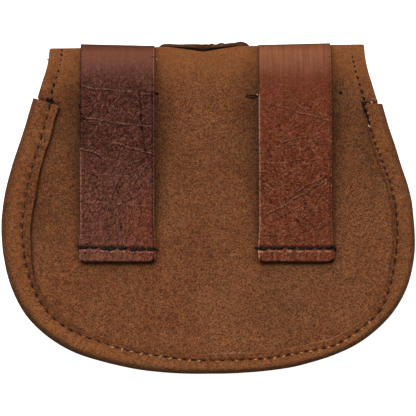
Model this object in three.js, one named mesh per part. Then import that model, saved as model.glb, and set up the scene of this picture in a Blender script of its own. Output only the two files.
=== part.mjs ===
// A belt bag of brown suede with a smooth leather flap and two smooth leather belt loops.
// It lies on its flap with its back up. Millimetres; +Z is up, +Y runs towards the bag's top edge,
// and the origin is on the floor under the middle of the bag.
import * as THREE from "three";

const { clamp, degToRad, lerp, smoothstep } = THREE.MathUtils;

// Leather thicknesses, and the clearance between layers that are sewn on each other
const SUEDE = 1.6;
const GRAIN = 1.5;
const GAP = 0.3;

// The fold outline: the gusset's outermost edge, seen from the back
const HALF_WIDTH = 92.9;
const WIDEST_Y = -14.4;
const BOTTOM_Y = -74.5;
const BOTTOM_RADIUS = 196.5;
const SIDE_LEAN = degToRad(16.6);
const SIDE_HALF = 78.3; // half width where the straight side crosses SIDE_Y
const SIDE_Y = 49.5;
const LEFT_MOUTH_Y = 49.5; // the gusset ends here on the left
const RIGHT_MOUTH_Y = 47.0;

// The gusset's rim, from its left end to its right end: the seam's distance from the fold,
// how far the lap runs on past the seam, and the radius of the fold
const RIM = [
  { share: 0.0, seam: 8.0, lap: 4.4, bend: 2.6 },
  { share: 0.1, seam: 9.3, lap: 4.0, bend: 3.0 },
  { share: 0.19, seam: 9.3, lap: 4.0, bend: 3.4 },
  { share: 0.27, seam: 8.1, lap: 2.2, bend: 4.2 },
  { share: 0.36, seam: 8.2, lap: 1.8, bend: 4.2 },
  { share: 0.5, seam: 6.2, lap: 3.0, bend: 3.8 },
  { share: 0.64, seam: 4.5, lap: 3.2, bend: 3.2 },
  { share: 0.73, seam: 4.2, lap: 2.8, bend: 3.0 },
  { share: 0.82, seam: 7.9, lap: 2.0, bend: 3.0 },
  { share: 0.9, seam: 7.7, lap: 2.0, bend: 2.8 },
  { share: 1.0, seam: 9.0, lap: 1.6, bend: 2.6 },
];
const RIGHT_END = { from: 0.95, slope: 0.3 }; // the right end of the back lap is cut level
const FRONT_LAP = 10; // the gusset's lap on the front panel
const WALL_BOW = 2.2; // the gusset's wall is drawn in between the panels

// Puckers in the gusset's wall where it turns the two lower corners
const PUCKERS = [
  { share: 0.22, spread: 0.016, depth: 1.4 },
  { share: 0.3, spread: 0.014, depth: 1.8 },
  { share: 0.41, spread: 0.02, depth: 1.0 },
  { share: 0.6, spread: 0.02, depth: 1.1 },
  { share: 0.7, spread: 0.014, depth: 1.7 },
  { share: 0.79, spread: 0.016, depth: 1.3 },
];

// Heights of the layers, from the floor up
const FRONT_LAP_Z = GRAIN + GAP;
const FRONT_PANEL_Z = FRONT_LAP_Z + SUEDE + GAP;
const BACK_FACE_Z = 36;

// The back panel: its top edge dips in the middle and is pressed down under the loops
const TOP_LEFT = { x: -70.9, y: 71.9 };
const TOP_RIGHT = { x: 70.3, y: 73.2 };
const DIP = { x: -1.8, half: 20, depth: 2.3 };
const LOOP_PRESS = 1.4;
const FLARE_Y = 57.6; // the straight sides start to turn upright here
const SAG = { y: -6, halfX: 70, halfY: 56, depth: 1.2 };
const ROLL = { y: 60, run: 12, drop: 2.0 }; // the panel's top rolls over towards the flap

// The belt loops: middle and width, lean of the strap, and slant of its fold across the width
const LOOPS = [
  { name: "belt_loop_left", x: -40.6, width: 33.2, lean: 0, slant: -0.011 },
  { name: "belt_loop_right", x: 39.3, width: 32.6, lean: -0.008, slant: 0.011 },
];
const LOOP_SPREAD = 1.4; // the strap is squeezed wider at its lower seam
const LOOP_SEAM_Y = -18.2;
const LOOP_INNER_END_Y = 47.7;
// The middle of the strap's thickness, above the back face
const LOOP_RISE = [
  { y: -24.3, height: GAP + GRAIN / 2 },
  { y: LOOP_SEAM_Y, height: GAP + GRAIN / 2 },
  { y: -8, height: 2.4 },
  { y: 8, height: 4.8 },
  { y: 26, height: 6.8 },
  { y: 44, height: 7.4 },
  { y: 55, height: 7.0 },
];

// The flap, from its sewn edge inside the back panel, round the fold and down to the floor:
// the middle of its thickness below the back face, and its half width
const FLAP_RUN = [
  { y: 47.7, below: 4.6, half: 75.0 },
  { y: 60, below: 4.6, half: 72.0 },
  { y: 66, below: 5.3, half: 70.2 },
  { y: 69.2, below: 6.7, half: 69.6 },
  { y: 70.7, below: 9.2, half: 69.4 },
  { y: 70.8, below: 13, half: 69.4 },
  { y: 69.2, below: 19.5, half: 69.6 },
  { y: 65.2, below: 26.5, half: 70.0 },
  { y: 59.5, below: 32.0, half: 70.6 },
  { y: 52, below: 35.0, half: 71.2 },
  { y: 45, below: BACK_FACE_Z - GRAIN / 2, half: 71.6 },
];
const FLAP_SEAM_LIFT = { from: 61.5, to: 67, height: 1.85 }; // it meets the panel beside the loops
const FLAP_SWELL = { x: -1.8, half: 23, shoulder: 7, depth: 2.6, below: 10, run: 7 };
const FLAP_FRONT_HALF = 73;
const FLAP_SIDE_Y = -6; // the rounded lower end starts here at the sides
const FLAP_END_Y = -46;
const FLAP_ROUNDNESS = 2.6;

// Mesh steps
const RIM_STATIONS = 60;
const BEND_STEPS = 3;
const WALL_STEPS = 4;
const TOP_STEPS = 40;
const RINGS = [1, 0.95, 0.87, 0.66, 0.36];
const LOOP_COLUMNS = 4;
const LOOP_ROWS = 44;
const FLAP_COLUMNS = 26;
const FLAP_RUN_ROWS = 18;
const FLAP_FRONT_ROWS = 8;

const steps = (count) => Array.from({ length: count + 1 }, (_, i) => i / count);

// Wraps points and triangles as a solid whose faces look outwards
function solid(points, index) {
  let volume = 0;
  for (let i = 0; i < index.length; i += 3) {
    const [a, b, c] = index.slice(i, i + 3).map((k) => points[k]);
    volume += a.dot(b.clone().cross(c));
  }
  const geometry = new THREE.BufferGeometry().setFromPoints(points);
  geometry.setIndex(volume > 0 ? index : [...index].reverse());
  geometry.computeVertexNormals();
  return geometry;
}

// A sheet of leather between two matching grids of points, closed round its four edges
function sheet(upper, lower) {
  const rows = upper.length;
  const columns = upper[0].length;
  const at = (side, i, j) => (side * rows + i) * columns + j;
  const index = [];
  const quad = (a, b, c, d) => index.push(a, b, c, a, c, d);
  for (let i = 0; i < rows - 1; i++) {
    for (let j = 0; j < columns - 1; j++) {
      quad(at(0, i, j), at(0, i + 1, j), at(0, i + 1, j + 1), at(0, i, j + 1));
      quad(at(1, i, j), at(1, i, j + 1), at(1, i + 1, j + 1), at(1, i + 1, j));
    }
    quad(at(0, i, 0), at(1, i, 0), at(1, i + 1, 0), at(0, i + 1, 0));
    quad(at(0, i, columns - 1), at(0, i + 1, columns - 1), at(1, i + 1, columns - 1), at(1, i, columns - 1));
  }
  for (let j = 0; j < columns - 1; j++) {
    quad(at(0, 0, j), at(0, 0, j + 1), at(1, 0, j + 1), at(1, 0, j));
    quad(at(0, rows - 1, j), at(1, rows - 1, j), at(1, rows - 1, j + 1), at(0, rows - 1, j + 1));
  }
  return solid([...upper.flat(), ...lower.flat()], index);
}

// A sheet cut to a closed outline, in rings round its middle so that it can sag and roll
function panel(outline, faceZ, thickness) {
  const count = outline.length;
  const middle = new THREE.Vector2(0, SAG.y);
  const skin = (drop) => {
    const rings = RINGS.flatMap((share) => outline.map((p) => middle.clone().lerp(p, share)));
    return [...rings, middle].map((p) => new THREE.Vector3(p.x, p.y, faceZ(p.x, p.y) - drop));
  };
  const upper = skin(0);
  const lower = skin(thickness);
  const index = [];
  const quad = (a, b, c, d) => index.push(a, b, c, a, c, d);
  for (let j = 0; j < count; j++) {
    const next = (j + 1) % count;
    for (let i = 0; i < RINGS.length - 1; i++) {
      const ring = i * count;
      const inner = ring + count;
      quad(ring + j, ring + next, inner + next, inner + j);
      const below = upper.length;
      quad(below + ring + j, below + inner + j, below + inner + next, below + ring + next);
    }
    const last = (RINGS.length - 1) * count;
    const centre = upper.length - 1;
    index.push(last + j, last + next, centre);
    index.push(upper.length + last + j, upper.length + centre, upper.length + last + next);
    quad(j, upper.length + j, upper.length + next, next);
  }
  return solid([...upper, ...lower], index);
}

// The fold outline, from the left mouth end round the bottom to the right mouth end. The corner arcs
// touch the bottom arc, and the side arcs touch the straight sides.
function foldCurve() {
  const deep = BOTTOM_RADIUS - (WIDEST_Y - BOTTOM_Y);
  const corner = (BOTTOM_RADIUS ** 2 - HALF_WIDTH ** 2 - deep ** 2) / (2 * (BOTTOM_RADIUS - HALF_WIDTH));
  const sideRise = Math.sin(SIDE_LEAN) * Math.tan(SIDE_LEAN) - 1 + Math.cos(SIDE_LEAN);
  const side = (SIDE_HALF + (SIDE_Y - WIDEST_Y) * Math.tan(SIDE_LEAN) - HALF_WIDTH) / sideRise;
  const spread = Math.atan2(HALF_WIDTH - corner, deep);
  const half = (y) => SIDE_HALF + (SIDE_Y - y) * Math.tan(SIDE_LEAN);
  const touchY = WIDEST_Y + side * Math.sin(SIDE_LEAN);
  const point = (x, y) => new THREE.Vector2(x, y);
  const arc = (x, y, radius, from, to) => new THREE.EllipseCurve(x, y, radius, radius, from, to);
  const down = 1.5 * Math.PI;
  const curve = new THREE.CurvePath();
  curve.add(new THREE.LineCurve(point(-half(LEFT_MOUTH_Y), LEFT_MOUTH_Y), point(-half(touchY), touchY)));
  curve.add(arc(side - HALF_WIDTH, WIDEST_Y, side, Math.PI - SIDE_LEAN, Math.PI));
  curve.add(arc(corner - HALF_WIDTH, WIDEST_Y, corner, Math.PI, down - spread));
  curve.add(arc(0, BOTTOM_Y + BOTTOM_RADIUS, BOTTOM_RADIUS, down - spread, down + spread));
  curve.add(arc(HALF_WIDTH - corner, WIDEST_Y, corner, down + spread, 2 * Math.PI));
  curve.add(arc(HALF_WIDTH - side, WIDEST_Y, side, 0, SIDE_LEAN));
  curve.add(new THREE.LineCurve(point(half(touchY), touchY), point(half(RIGHT_MOUTH_Y), RIGHT_MOUTH_Y)));
  return curve;
}

const fold = foldCurve();

const rimTable = new THREE.CubicInterpolant(
  RIM.map((row) => row.share),
  RIM.flatMap((row) => [row.seam, row.lap, row.bend]),
  3,
);

function rimAt(share) {
  const [seam, lap, bend] = rimTable.evaluate(share);
  return { seam, lap, bend };
}

// A point at a share of the fold outline, moved inwards and on along the outline
function inset(share, distance, onwards = 0) {
  const point = fold.getPointAt(share);
  const along = fold.getTangentAt(share);
  const inwards = new THREE.Vector2(-along.y, along.x);
  return point.addScaledVector(inwards, distance).addScaledVector(along, onwards);
}

// The edge of a panel, which lies inside the gusset's fold
function panelEdge() {
  return steps(RIM_STATIONS).map((share) => inset(share, 0.7 * rimAt(share).bend + 0.85));
}

function backFaceZ(x, y) {
  const sag = SAG.depth * Math.max(0, 1 - (x / SAG.halfX) ** 2 - ((y - SAG.y) / SAG.halfY) ** 2);
  const roll = ROLL.drop * clamp((y - ROLL.y) / ROLL.run, 0, 1.2) ** 2;
  return BACK_FACE_Z - sag - roll;
}

function backTopY(x) {
  const level = lerp(TOP_LEFT.y, TOP_RIGHT.y, (x - TOP_LEFT.x) / (TOP_RIGHT.x - TOP_LEFT.x));
  const dip = DIP.depth * Math.max(0, 1 - Math.abs(x - DIP.x) / DIP.half);
  const underLoop = LOOPS.some((loop) => Math.abs(x - loop.x) < loop.width / 2 + 3.6);
  return level - dip - (underLoop ? LOOP_PRESS : 0);
}

// The back panel's outline: the gusset's edge, then up each side in a hollow curve to the top edge
function backOutline() {
  const rim = panelEdge();
  const hollow = (start, corner) => {
    const turnX = start.x - Math.sign(start.x) * (FLARE_Y - start.y) * Math.tan(SIDE_LEAN);
    const turn = new THREE.Vector2(turnX, FLARE_Y);
    const above = new THREE.Vector2(corner.x + Math.sign(corner.x) * 0.6, (FLARE_Y + corner.y) / 2);
    return [turn, ...new THREE.QuadraticBezierCurve(turn, above, corner).getPoints(5).slice(1, -1)];
  };
  const right = hollow(rim.at(-1), TOP_RIGHT);
  const left = hollow(rim[0], TOP_LEFT).reverse();
  const top = steps(TOP_STEPS).map((share) => {
    const x = lerp(TOP_RIGHT.x, TOP_LEFT.x, share);
    return new THREE.Vector2(x, backTopY(x));
  });
  return [...rim, ...right, ...top, ...left];
}

// The gusset's section at a share of the fold: the distance in from the fold and the height,
// from the edge of the back lap over the fold and down the wall to the edge of the front lap
function gussetSection(share, depth) {
  const { seam, lap, bend } = rimAt(share);
  const top = BACK_FACE_Z + GAP + SUEDE - depth;
  const bottom = FRONT_LAP_Z + depth;
  const radius = bend - depth;
  const dent = (down) => {
    const puckers = PUCKERS.map((p) => p.depth * Math.exp(-(((share - p.share) / p.spread) ** 2)));
    return (WALL_BOW + puckers.reduce((sum, one) => sum + one, 0)) * Math.sin(Math.PI * down);
  };
  const quarter = steps(BEND_STEPS).map((part) => (part * Math.PI) / 2);
  const upper = quarter.map((a) => [bend - radius * Math.sin(a), top - radius + radius * Math.cos(a)]);
  const lower = quarter.map((a) => [bend - radius * Math.cos(a), bottom + radius - radius * Math.sin(a)]);
  const wall = steps(WALL_STEPS).slice(1, -1);
  const drawn = wall.map((down) => [depth + dent(down), lerp(top - radius, bottom + radius, down)]);
  return [[seam + lap, top], ...upper, ...drawn, ...lower, [FRONT_LAP, bottom]];
}

function gusset() {
  const skin = (depth) =>
    steps(RIM_STATIONS).map((share) =>
      gussetSection(share, depth).map(([distance, z]) => {
        const onBack = z > BACK_FACE_Z ? distance : 0;
        const point = inset(share, distance, onBack * RIGHT_END.slope * smoothstep(share, RIGHT_END.from, 1));
        return new THREE.Vector3(point.x, point.y, z);
      }),
    );
  return sheet(skin(0), skin(SUEDE));
}

// Offsets a curve in the YZ plane to one side of itself; rows hold { y, z } and whatever else they need
function offsetRows(rows, distance) {
  return rows.map((row, i) => {
    const before = rows[Math.max(i - 1, 0)];
    const after = rows[Math.min(i + 1, rows.length - 1)];
    const along = new THREE.Vector2(after.y - before.y, after.z - before.z).normalize();
    return { ...row, y: row.y - along.y * distance, z: row.z + along.x * distance };
  });
}

// The middle line of a belt loop in the YZ plane: up the bag, over the panel's top edge and back inside
function loopLine(loop) {
  const top = backTopY(loop.x);
  const tucked = SUEDE + GAP + GRAIN / 2 + 0.15;
  const under = (y) => backFaceZ(TOP_LEFT.x, y) - BACK_FACE_Z - tucked;
  const edge = backFaceZ(TOP_LEFT.x, top) - BACK_FACE_Z - SUEDE / 2;
  const rise = LOOP_RISE.map((row) => [row.y, row.height]);
  const shoulder = [[top - 8, 5.4], [top - 2.6, 2.6], [top + 0.5, 0.1]];
  const round = [[top + 1.4, edge + 0.9], [top + 1.5, edge - 0.4], [top + 1, edge - 1.7]];
  const inside = [top - 0.3, top - 3, top - 7, top - 13, LOOP_INNER_END_Y].map((y) => [y, under(y)]);
  const points = [...rise, ...shoulder, ...round, ...inside].map(([y, h]) => new THREE.Vector3(0, y, h));
  return new THREE.CatmullRomCurve3(points, false, "centripetal");
}

function beltLoop(loop) {
  const line = loopLine(loop);
  const rows = steps(LOOP_ROWS).map((share) => line.getPoint(share)).map((p) => ({ y: p.y, z: p.z }));
  const skin = (distance) =>
    offsetRows(rows, distance).map((row, i) => {
      const atSeam = Math.exp(-(((rows[i].y - LOOP_SEAM_Y) / 7) ** 2)) * (rows[i].z > 0 ? 1 : 0);
      const half = (loop.width + LOOP_SPREAD * atSeam) / 2;
      const slope = loop.slant * smoothstep(row.y, 40, 70);
      return steps(LOOP_COLUMNS).map((share) => {
        const across = lerp(-half, half, share);
        const x = loop.x + loop.lean * (row.y - TOP_RIGHT.y / 2) + across;
        const sag = row.z > 0 ? backFaceZ(x, Math.min(row.y, ROLL.y)) : BACK_FACE_Z;
        return new THREE.Vector3(x, row.y + slope * across, sag + row.z);
      });
    });
  return sheet(skin(GRAIN / 2), skin(-GRAIN / 2));
}

// The flap as rows of points across its width. Its run down to the floor is the same for every column,
// and on the front each column ends on the rounded lower edge.
function flap() {
  const curve = new THREE.CatmullRomCurve3(
    FLAP_RUN.map((row) => new THREE.Vector3(row.half, row.y, BACK_FACE_Z - row.below)),
    false,
    "centripetal",
  );
  const floor = GRAIN / 2;
  const run = steps(FLAP_RUN_ROWS).map((share) => curve.getPoint(share));
  const line = run.map((p) => ({ y: p.y, z: Math.max(p.z, floor), half: p.x, end: 0 }));
  const front = steps(FLAP_FRONT_ROWS).slice(1).map((end) => {
    const half = lerp(line.at(-1).half, FLAP_FRONT_HALF, Math.min(1, 2 * end));
    return { y: line.at(-1).y - end, z: floor, half, end };
  });
  const startY = line.at(-1).y;
  const skin = (distance) =>
    offsetRows([...line, ...front], distance).map((row) =>
      steps(FLAP_COLUMNS).map((share) => {
        const even = 2 * share - 1;
        const across = 1.3 * even - 0.3 * even ** 3; // closer columns where the lower corners turn
        const x = across * row.half;
        const round = (1 - Math.abs(across) ** FLAP_ROUNDNESS) ** (1 / FLAP_ROUNDNESS);
        const endY = lerp(FLAP_SIDE_Y, FLAP_END_Y, round);
        const off = Math.abs(x - FLAP_SWELL.x);
        const level = (BACK_FACE_Z - FLAP_SWELL.below - row.z) / FLAP_SWELL.run;
        const near = 1 - smoothstep(off, FLAP_SWELL.half - FLAP_SWELL.shoulder, FLAP_SWELL.half);
        const swell = row.end > 0 ? 0 : FLAP_SWELL.depth * near * Math.exp(-(level ** 2));
        const sewn = smoothstep(Math.abs(x), FLAP_SEAM_LIFT.from, FLAP_SEAM_LIFT.to);
        const lift = FLAP_SEAM_LIFT.height * sewn * smoothstep(row.z, 24, 30);
        const y = row.end > 0 ? lerp(startY, endY, row.end) : row.y + swell;
        return new THREE.Vector3(x, y, row.z + lift);
      }),
    );
  return sheet(skin(GRAIN / 2), skin(-GRAIN / 2));
}

const suede = new THREE.MeshStandardMaterial({ color: "#724529", roughness: 0.95 });
const grain = new THREE.MeshStandardMaterial({ color: "#6a3a28", roughness: 0.6 });

function piece(name, geometry, material) {
  const mesh = new THREE.Mesh(geometry, material);
  mesh.name = name;
  return mesh;
}

const bag = new THREE.Group();
bag.name = "belt_bag";
bag.add(piece("back_panel", panel(backOutline(), backFaceZ, SUEDE), suede));
bag.add(...LOOPS.map((loop) => piece(loop.name, beltLoop(loop), grain)));
bag.add(piece("flap", flap(), grain));
bag.add(piece("front_panel", panel(panelEdge(), () => FRONT_PANEL_Z + SUEDE, SUEDE), suede));
bag.add(piece("gusset", gusset(), suede));

export default bag;
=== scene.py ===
import math

import bpy
import numpy as np
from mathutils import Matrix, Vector, noise


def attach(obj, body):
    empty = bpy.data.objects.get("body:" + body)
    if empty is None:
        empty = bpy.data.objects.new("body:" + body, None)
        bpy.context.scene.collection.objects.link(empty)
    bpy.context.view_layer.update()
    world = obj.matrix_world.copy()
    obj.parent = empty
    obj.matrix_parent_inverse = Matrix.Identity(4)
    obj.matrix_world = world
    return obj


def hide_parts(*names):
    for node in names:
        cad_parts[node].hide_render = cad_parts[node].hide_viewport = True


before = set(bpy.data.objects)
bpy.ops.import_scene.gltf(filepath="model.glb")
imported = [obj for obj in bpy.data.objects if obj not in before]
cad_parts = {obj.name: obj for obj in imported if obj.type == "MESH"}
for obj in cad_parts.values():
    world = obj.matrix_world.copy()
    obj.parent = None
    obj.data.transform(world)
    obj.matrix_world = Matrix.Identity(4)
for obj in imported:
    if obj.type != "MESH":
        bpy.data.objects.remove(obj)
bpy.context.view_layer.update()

# Back panel
# One flat piece of brown suede split, cut by hand. Its sides and bottom lie under the gusset's lap, where
# they are sewn, and its raw top edge dips in the middle and rolls a little over towards the flap.
MM = 0.001
# Sizes are in millimetres: the thickness of the two leathers, and the gap between layers
SUEDE = 1.6
GRAIN = 1.5
GAP = 0.3
BACK_FACE_Z = 36.0
HALF_WIDTH = 92.9
WIDEST_Y = -14.4
BOTTOM_Y = -74.5
BOTTOM_RADIUS = 196.5
SIDE_LEAN = math.radians(16.6)
SIDE_HALF = 78.3
SIDE_Y = 49.5
LEFT_MOUTH_Y = 49.5
RIGHT_MOUTH_Y = 47.0
TOP_LEFT = np.array([-71.4, 72.1])
TOP_RIGHT = np.array([70.75, 74.0])
TOP_CORNER_RADIUS = 0.8
TOP_CORNER_STEPS = 6
# How many points of a side and of the top edge the rounded corner takes the place of
TOP_CORNER_TAKES = {"side": 4, "top": 12}
DIP = {"x": -1.8, "half": 16.0, "depth": 2.5}
FLARE_Y = 57.6
FLARE_OUT = 0.75
SAG = {"y": -6.0, "half_x": 70.0, "half_y": 56.0, "depth": 1.2}
ROLL = {"y": 60.0, "run": 12.0, "drop": 2.0, "limit": 1.2}
LOOP_PRESS = {"depth": 1.4, "ease": 1.4}
# The two straps: where each sits and leans, how its edges and the dirt beside it look, and its lower seam
LOOPS = [
    {
        "name": "belt_loop_left", "x": -40.6, "width": 33.2, "lean": 0.0, "slant": -0.024, "top": 71.38,
        "bare_edge": 0.25, "dark_edge": (0.7, 0.05), "pale_to": (22, 34), "right_dirt": 0.26,
        "red_end": 0.5, "stitch": 3.5, "seam_slope": -0.028, "tab_flare": 0.0,
    },
    {
        "name": "belt_loop_right", "x": 39.3, "width": 32.6, "lean": -0.008, "slant": 0.025, "top": 71.8,
        "bare_edge": 0.0, "dark_edge": (0.35, 0.35), "pale_to": (48, 56), "right_dirt": 0.34,
        "red_end": 0.0, "stitch": 2.9, "seam_slope": 0.0, "tab_flare": 0.45,
    },
]
# The rim from the gusset's left end to its right end: the seam's distance from the fold, how far the lap
# runs on past the seam, and the radius of the fold
RIM = np.array([
    # share, seam, lap, bend
    [0.00, 8.5, 4.0, 2.6],
    [0.02, 8.7, 3.3, 2.7],
    [0.035, 8.9, 3.7, 2.8],
    [0.065, 9.2, 3.2, 3.0],
    [0.10, 9.5, 4.0, 3.2],
    [0.13, 9.95, 3.8, 3.3],
    [0.165, 9.75, 3.5, 3.4],
    [0.19, 9.65, 3.2, 3.7],
    [0.205, 9.55, 2.4, 3.9],
    [0.23, 9.25, 2.2, 4.1],
    [0.265, 8.95, 2.8, 4.2],
    [0.30, 8.25, 3.4, 4.2],
    [0.33, 8.4, 2.6, 4.2],
    [0.355, 8.6, 1.6, 4.2],
    [0.38, 8.3, 1.6, 4.1],
    [0.405, 7.6, 1.7, 4.0],
    [0.45, 7.35, 1.8, 4.0],
    [0.475, 6.6, 2.3, 3.9],
    [0.50, 6.1, 3.0, 3.8],
    [0.54, 6.05, 3.2, 3.6],
    [0.57, 5.65, 3.1, 3.5],
    [0.605, 5.9, 2.9, 3.4],
    [0.64, 4.7, 3.5, 3.2],
    [0.66, 4.0, 3.7, 3.2],
    [0.69, 4.8, 3.0, 3.0],
    [0.73, 4.9, 3.1, 3.0],
    [0.747, 5.8, 2.5, 3.0],
    [0.765, 7.3, 2.0, 3.0],
    [0.785, 8.0, 1.9, 3.0],
    [0.81, 8.5, 1.8, 3.0],
    [0.85, 7.9, 1.9, 2.9],
    [0.89, 7.8, 2.0, 2.8],
    [0.91, 7.4, 2.1, 2.8],
    [0.95, 8.3, 1.7, 2.7],
    [0.965, 8.6, 1.3, 2.7],
    [0.985, 7.9, 1.0, 2.6],
    [1.00, 7.9, 0.8, 2.6],
])
# How far the edge, bent and sewn by hand, stands out past the even outline
FOLD_OUT = np.array([
    # share, outwards
    [0.00, 0.5], [0.04, 0.45], [0.08, 1.0], [0.12, 0.85], [0.155, 0.6], [0.175, 0.1], [0.20, -0.3],
    [0.23, 0.0], [0.27, 0.75], [0.32, 0.5], [0.36, 0.5], [0.42, 0.9], [0.47, 0.55], [0.505, 0.25],
    [0.55, 0.5], [0.605, 1.05], [0.66, 0.3], [0.71, 0.75], [0.745, 1.3], [0.775, 1.4], [0.80, 0.95],
    [0.86, 0.55], [0.88, 0.8], [0.90, 0.55], [0.92, 0.12], [0.95, 0.1], [0.97, -0.3], [1.00, -0.1],
])
# Where the gusset's lap is pared thin, so that its raw edge lies flush with the panel
PARED = (0.20, 0.26)
# The gusset's right end is cut level: from this share of the fold on, at this slope to the rim
RIGHT_END = {"from": 0.95, "slope": 0.3}
# How far past its raw edge the lap presses the panel down, and how much less where it is pared
PRESS_FROM = {"full": -0.2, "pared": -1.4}
PRESS_TO = {"full": 1.1, "pared": -1.2}
PRESS_PAST_END = 1.2
SEWN_PRESS = 1.2
PANEL_IN_FOLD = {"of_bend": 0.7, "more": 0.85}
LOOP_END_Y = -24.8
PANEL_COLUMNS = 210
PANEL_ROWS = 170
PANEL_WAVES = [
    # height, width of a swell, seed
    (0.3, 34, 1.7),
    (0.12, 11, 5.2),
]
LOWER_CORNER_SHARES = (0.3, 0.7)
UPPER_SEAM_INSET = 5.7
# The groove of the upper seam, and a ridge beside it
UPPER_SEAM_SHAPE = [
    # height, distance in from the side, half width, the y over which it starts
    (-0.4, UPPER_SEAM_INSET, 0.9, (44, 50)),
    (0.25, 2.4, 1.6, (48, 54)),
]
SIDE_HOLLOW = 0.1


def smoothstep(value, low, high):
    """0 up to the low value, 1 from the high one on, and a smooth rise between them."""
    t = np.clip((value - low) / (high - low), 0, 1)
    return t * t * (3 - 2 * t)


def band(value, rise, fall):
    """1 between a rise and a fall, each given by its two ends, and 0 outside them."""
    return smoothstep(value, *rise) * (1 - smoothstep(value, *fall))


def hump(value, half):
    """1 where the value is 0, falling off evenly on both sides over about the half width."""
    return np.exp(-((value / half) ** 2))


def from_table(at, table, column=1):
    """A table's value in that column, read between its rows by their first value."""
    rows = np.array(table)
    return np.interp(at, rows[:, 0], rows[:, column])


def ripple(x, y, size, seed):
    """Smooth random heights between about -1 and 1, with swells of that size in millimetres."""
    x, y = np.broadcast_arrays(x, y)
    heights = [noise.noise(Vector((a / size, b / size, seed))) for a, b in zip(x.ravel(), y.ravel())]
    return np.array(heights).reshape(x.shape)


def waves(x, y, rows):
    """Ripples of several sizes together, given by their height, width and seed."""
    return sum(height * ripple(x, y, width, seed) for height, width, seed in rows)


def evenly(line, count, weight=1.0):
    """The same line as evenly spaced points, or points that are closer where the weight is larger."""
    steps = np.linalg.norm(np.diff(line, axis=0), axis=1) * weight
    run = np.concatenate([[0], np.cumsum(steps)])
    at = np.linspace(0, run[-1], count)
    return np.column_stack([np.interp(at, run, column) for column in line.T])


def smooth_line(knots, per_span=40):
    """A smooth line through the knots: a centripetal Catmull-Rom curve."""
    knots = np.asarray(knots, float)
    padded = np.vstack([2 * knots[0] - knots[1], knots, 2 * knots[-1] - knots[-2]])
    spans = []
    for a, b, c, d in zip(padded, padded[1:], padded[2:], padded[3:]):
        t = np.cumsum([0, *(np.linalg.norm(q - p) ** 0.5 for p, q in ((a, b), (b, c), (c, d)))])
        u = np.linspace(t[1], t[2], per_span, endpoint=False)[:, None]
        ab = a + (b - a) * (u - t[0]) / (t[1] - t[0])
        bc = b + (c - b) * (u - t[1]) / (t[2] - t[1])
        cd = c + (d - c) * (u - t[2]) / (t[3] - t[2])
        abc = ab + (bc - ab) * (u - t[0]) / (t[2] - t[0])
        bcd = bc + (cd - bc) * (u - t[1]) / (t[3] - t[1])
        spans.append(abc + (bcd - abc) * (u - t[1]) / (t[2] - t[1]))
    return np.vstack([*spans, knots[-1:]])


def fold_line():
    """The bag's outermost edge from the back: from its left mouth end round the bottom to its right one."""
    deep = BOTTOM_RADIUS - (WIDEST_Y - BOTTOM_Y)
    corner = (BOTTOM_RADIUS**2 - HALF_WIDTH**2 - deep**2) / (2 * (BOTTOM_RADIUS - HALF_WIDTH))
    rise = math.sin(SIDE_LEAN) * math.tan(SIDE_LEAN) - 1 + math.cos(SIDE_LEAN)
    side = (SIDE_HALF + (SIDE_Y - WIDEST_Y) * math.tan(SIDE_LEAN) - HALF_WIDTH) / rise
    spread = math.atan2(HALF_WIDTH - corner, deep)
    down = 1.5 * math.pi

    def arc(x, y, radius, start, end):
        """Points on a circle about x and y, from one angle to another."""
        angles = np.linspace(start, end, 300)
        return np.column_stack([x + radius * np.cos(angles), y + radius * np.sin(angles)])

    def mouth(sign, y):
        """The end of the edge at the mouth, on the side with that sign."""
        return [[sign * (SIDE_HALF + (SIDE_Y - y) * math.tan(SIDE_LEAN)), y]]

    return np.vstack([
        mouth(-1, LEFT_MOUTH_Y),
        arc(side - HALF_WIDTH, WIDEST_Y, side, math.pi - SIDE_LEAN, math.pi),
        arc(corner - HALF_WIDTH, WIDEST_Y, corner, math.pi, down - spread),
        arc(0, BOTTOM_Y + BOTTOM_RADIUS, BOTTOM_RADIUS, down - spread, down + spread),
        arc(HALF_WIDTH - corner, WIDEST_Y, corner, down + spread, 2 * math.pi),
        arc(HALF_WIDTH - side, WIDEST_Y, side, 0, SIDE_LEAN),
        mouth(1, RIGHT_MOUTH_Y),
    ])


def unit_along(line):
    """The direction of a line at each of its points."""
    along = np.gradient(line, axis=0)
    return along / np.linalg.norm(along, axis=1)[:, None]


FOLD_SHARE = np.linspace(0, 1, 1601)


def smooth_table(table):
    """A table's values at each share of the fold, with the corners between its rows eased."""
    weight = hump(np.linspace(-2.5, 2.5, 51), 1.0)
    weight /= weight.sum()
    eased = []
    for column in table[:, 1:].T:
        values = np.interp(FOLD_SHARE, table[:, 0], column)
        padded = np.pad(values, len(weight) // 2, mode="edge")
        eased.append(np.convolve(padded, weight, mode="valid"))
    return np.column_stack([FOLD_SHARE, *eased])


OUT_LINE = smooth_table(FOLD_OUT)
FOLD = evenly(fold_line(), len(FOLD_SHARE))
FOLD = FOLD + np.interp(FOLD_SHARE, *OUT_LINE.T)[:, None] * unit_along(FOLD)[:, ::-1] * [1, -1]
FOLD_ALONG = unit_along(FOLD)
FOLD_LENGTH = np.linalg.norm(np.diff(FOLD, axis=0), axis=1).sum()
RIM_LINE = smooth_table(RIM)


def rim_at(share):
    """Seam, lap and bend at a share of the fold."""
    return [from_table(share, RIM_LINE, column) for column in (1, 2, 3)]


def inset(share, distance, onwards=0.0):
    """A point at a share of the fold, moved inwards and on along it."""
    x, y = (np.interp(share, FOLD_SHARE, FOLD[:, axis]) for axis in (0, 1))
    along_x, along_y = (np.interp(share, FOLD_SHARE, FOLD_ALONG[:, axis]) for axis in (0, 1))
    return x - along_y * distance + along_x * onwards, y + along_x * distance + along_y * onwards


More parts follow.
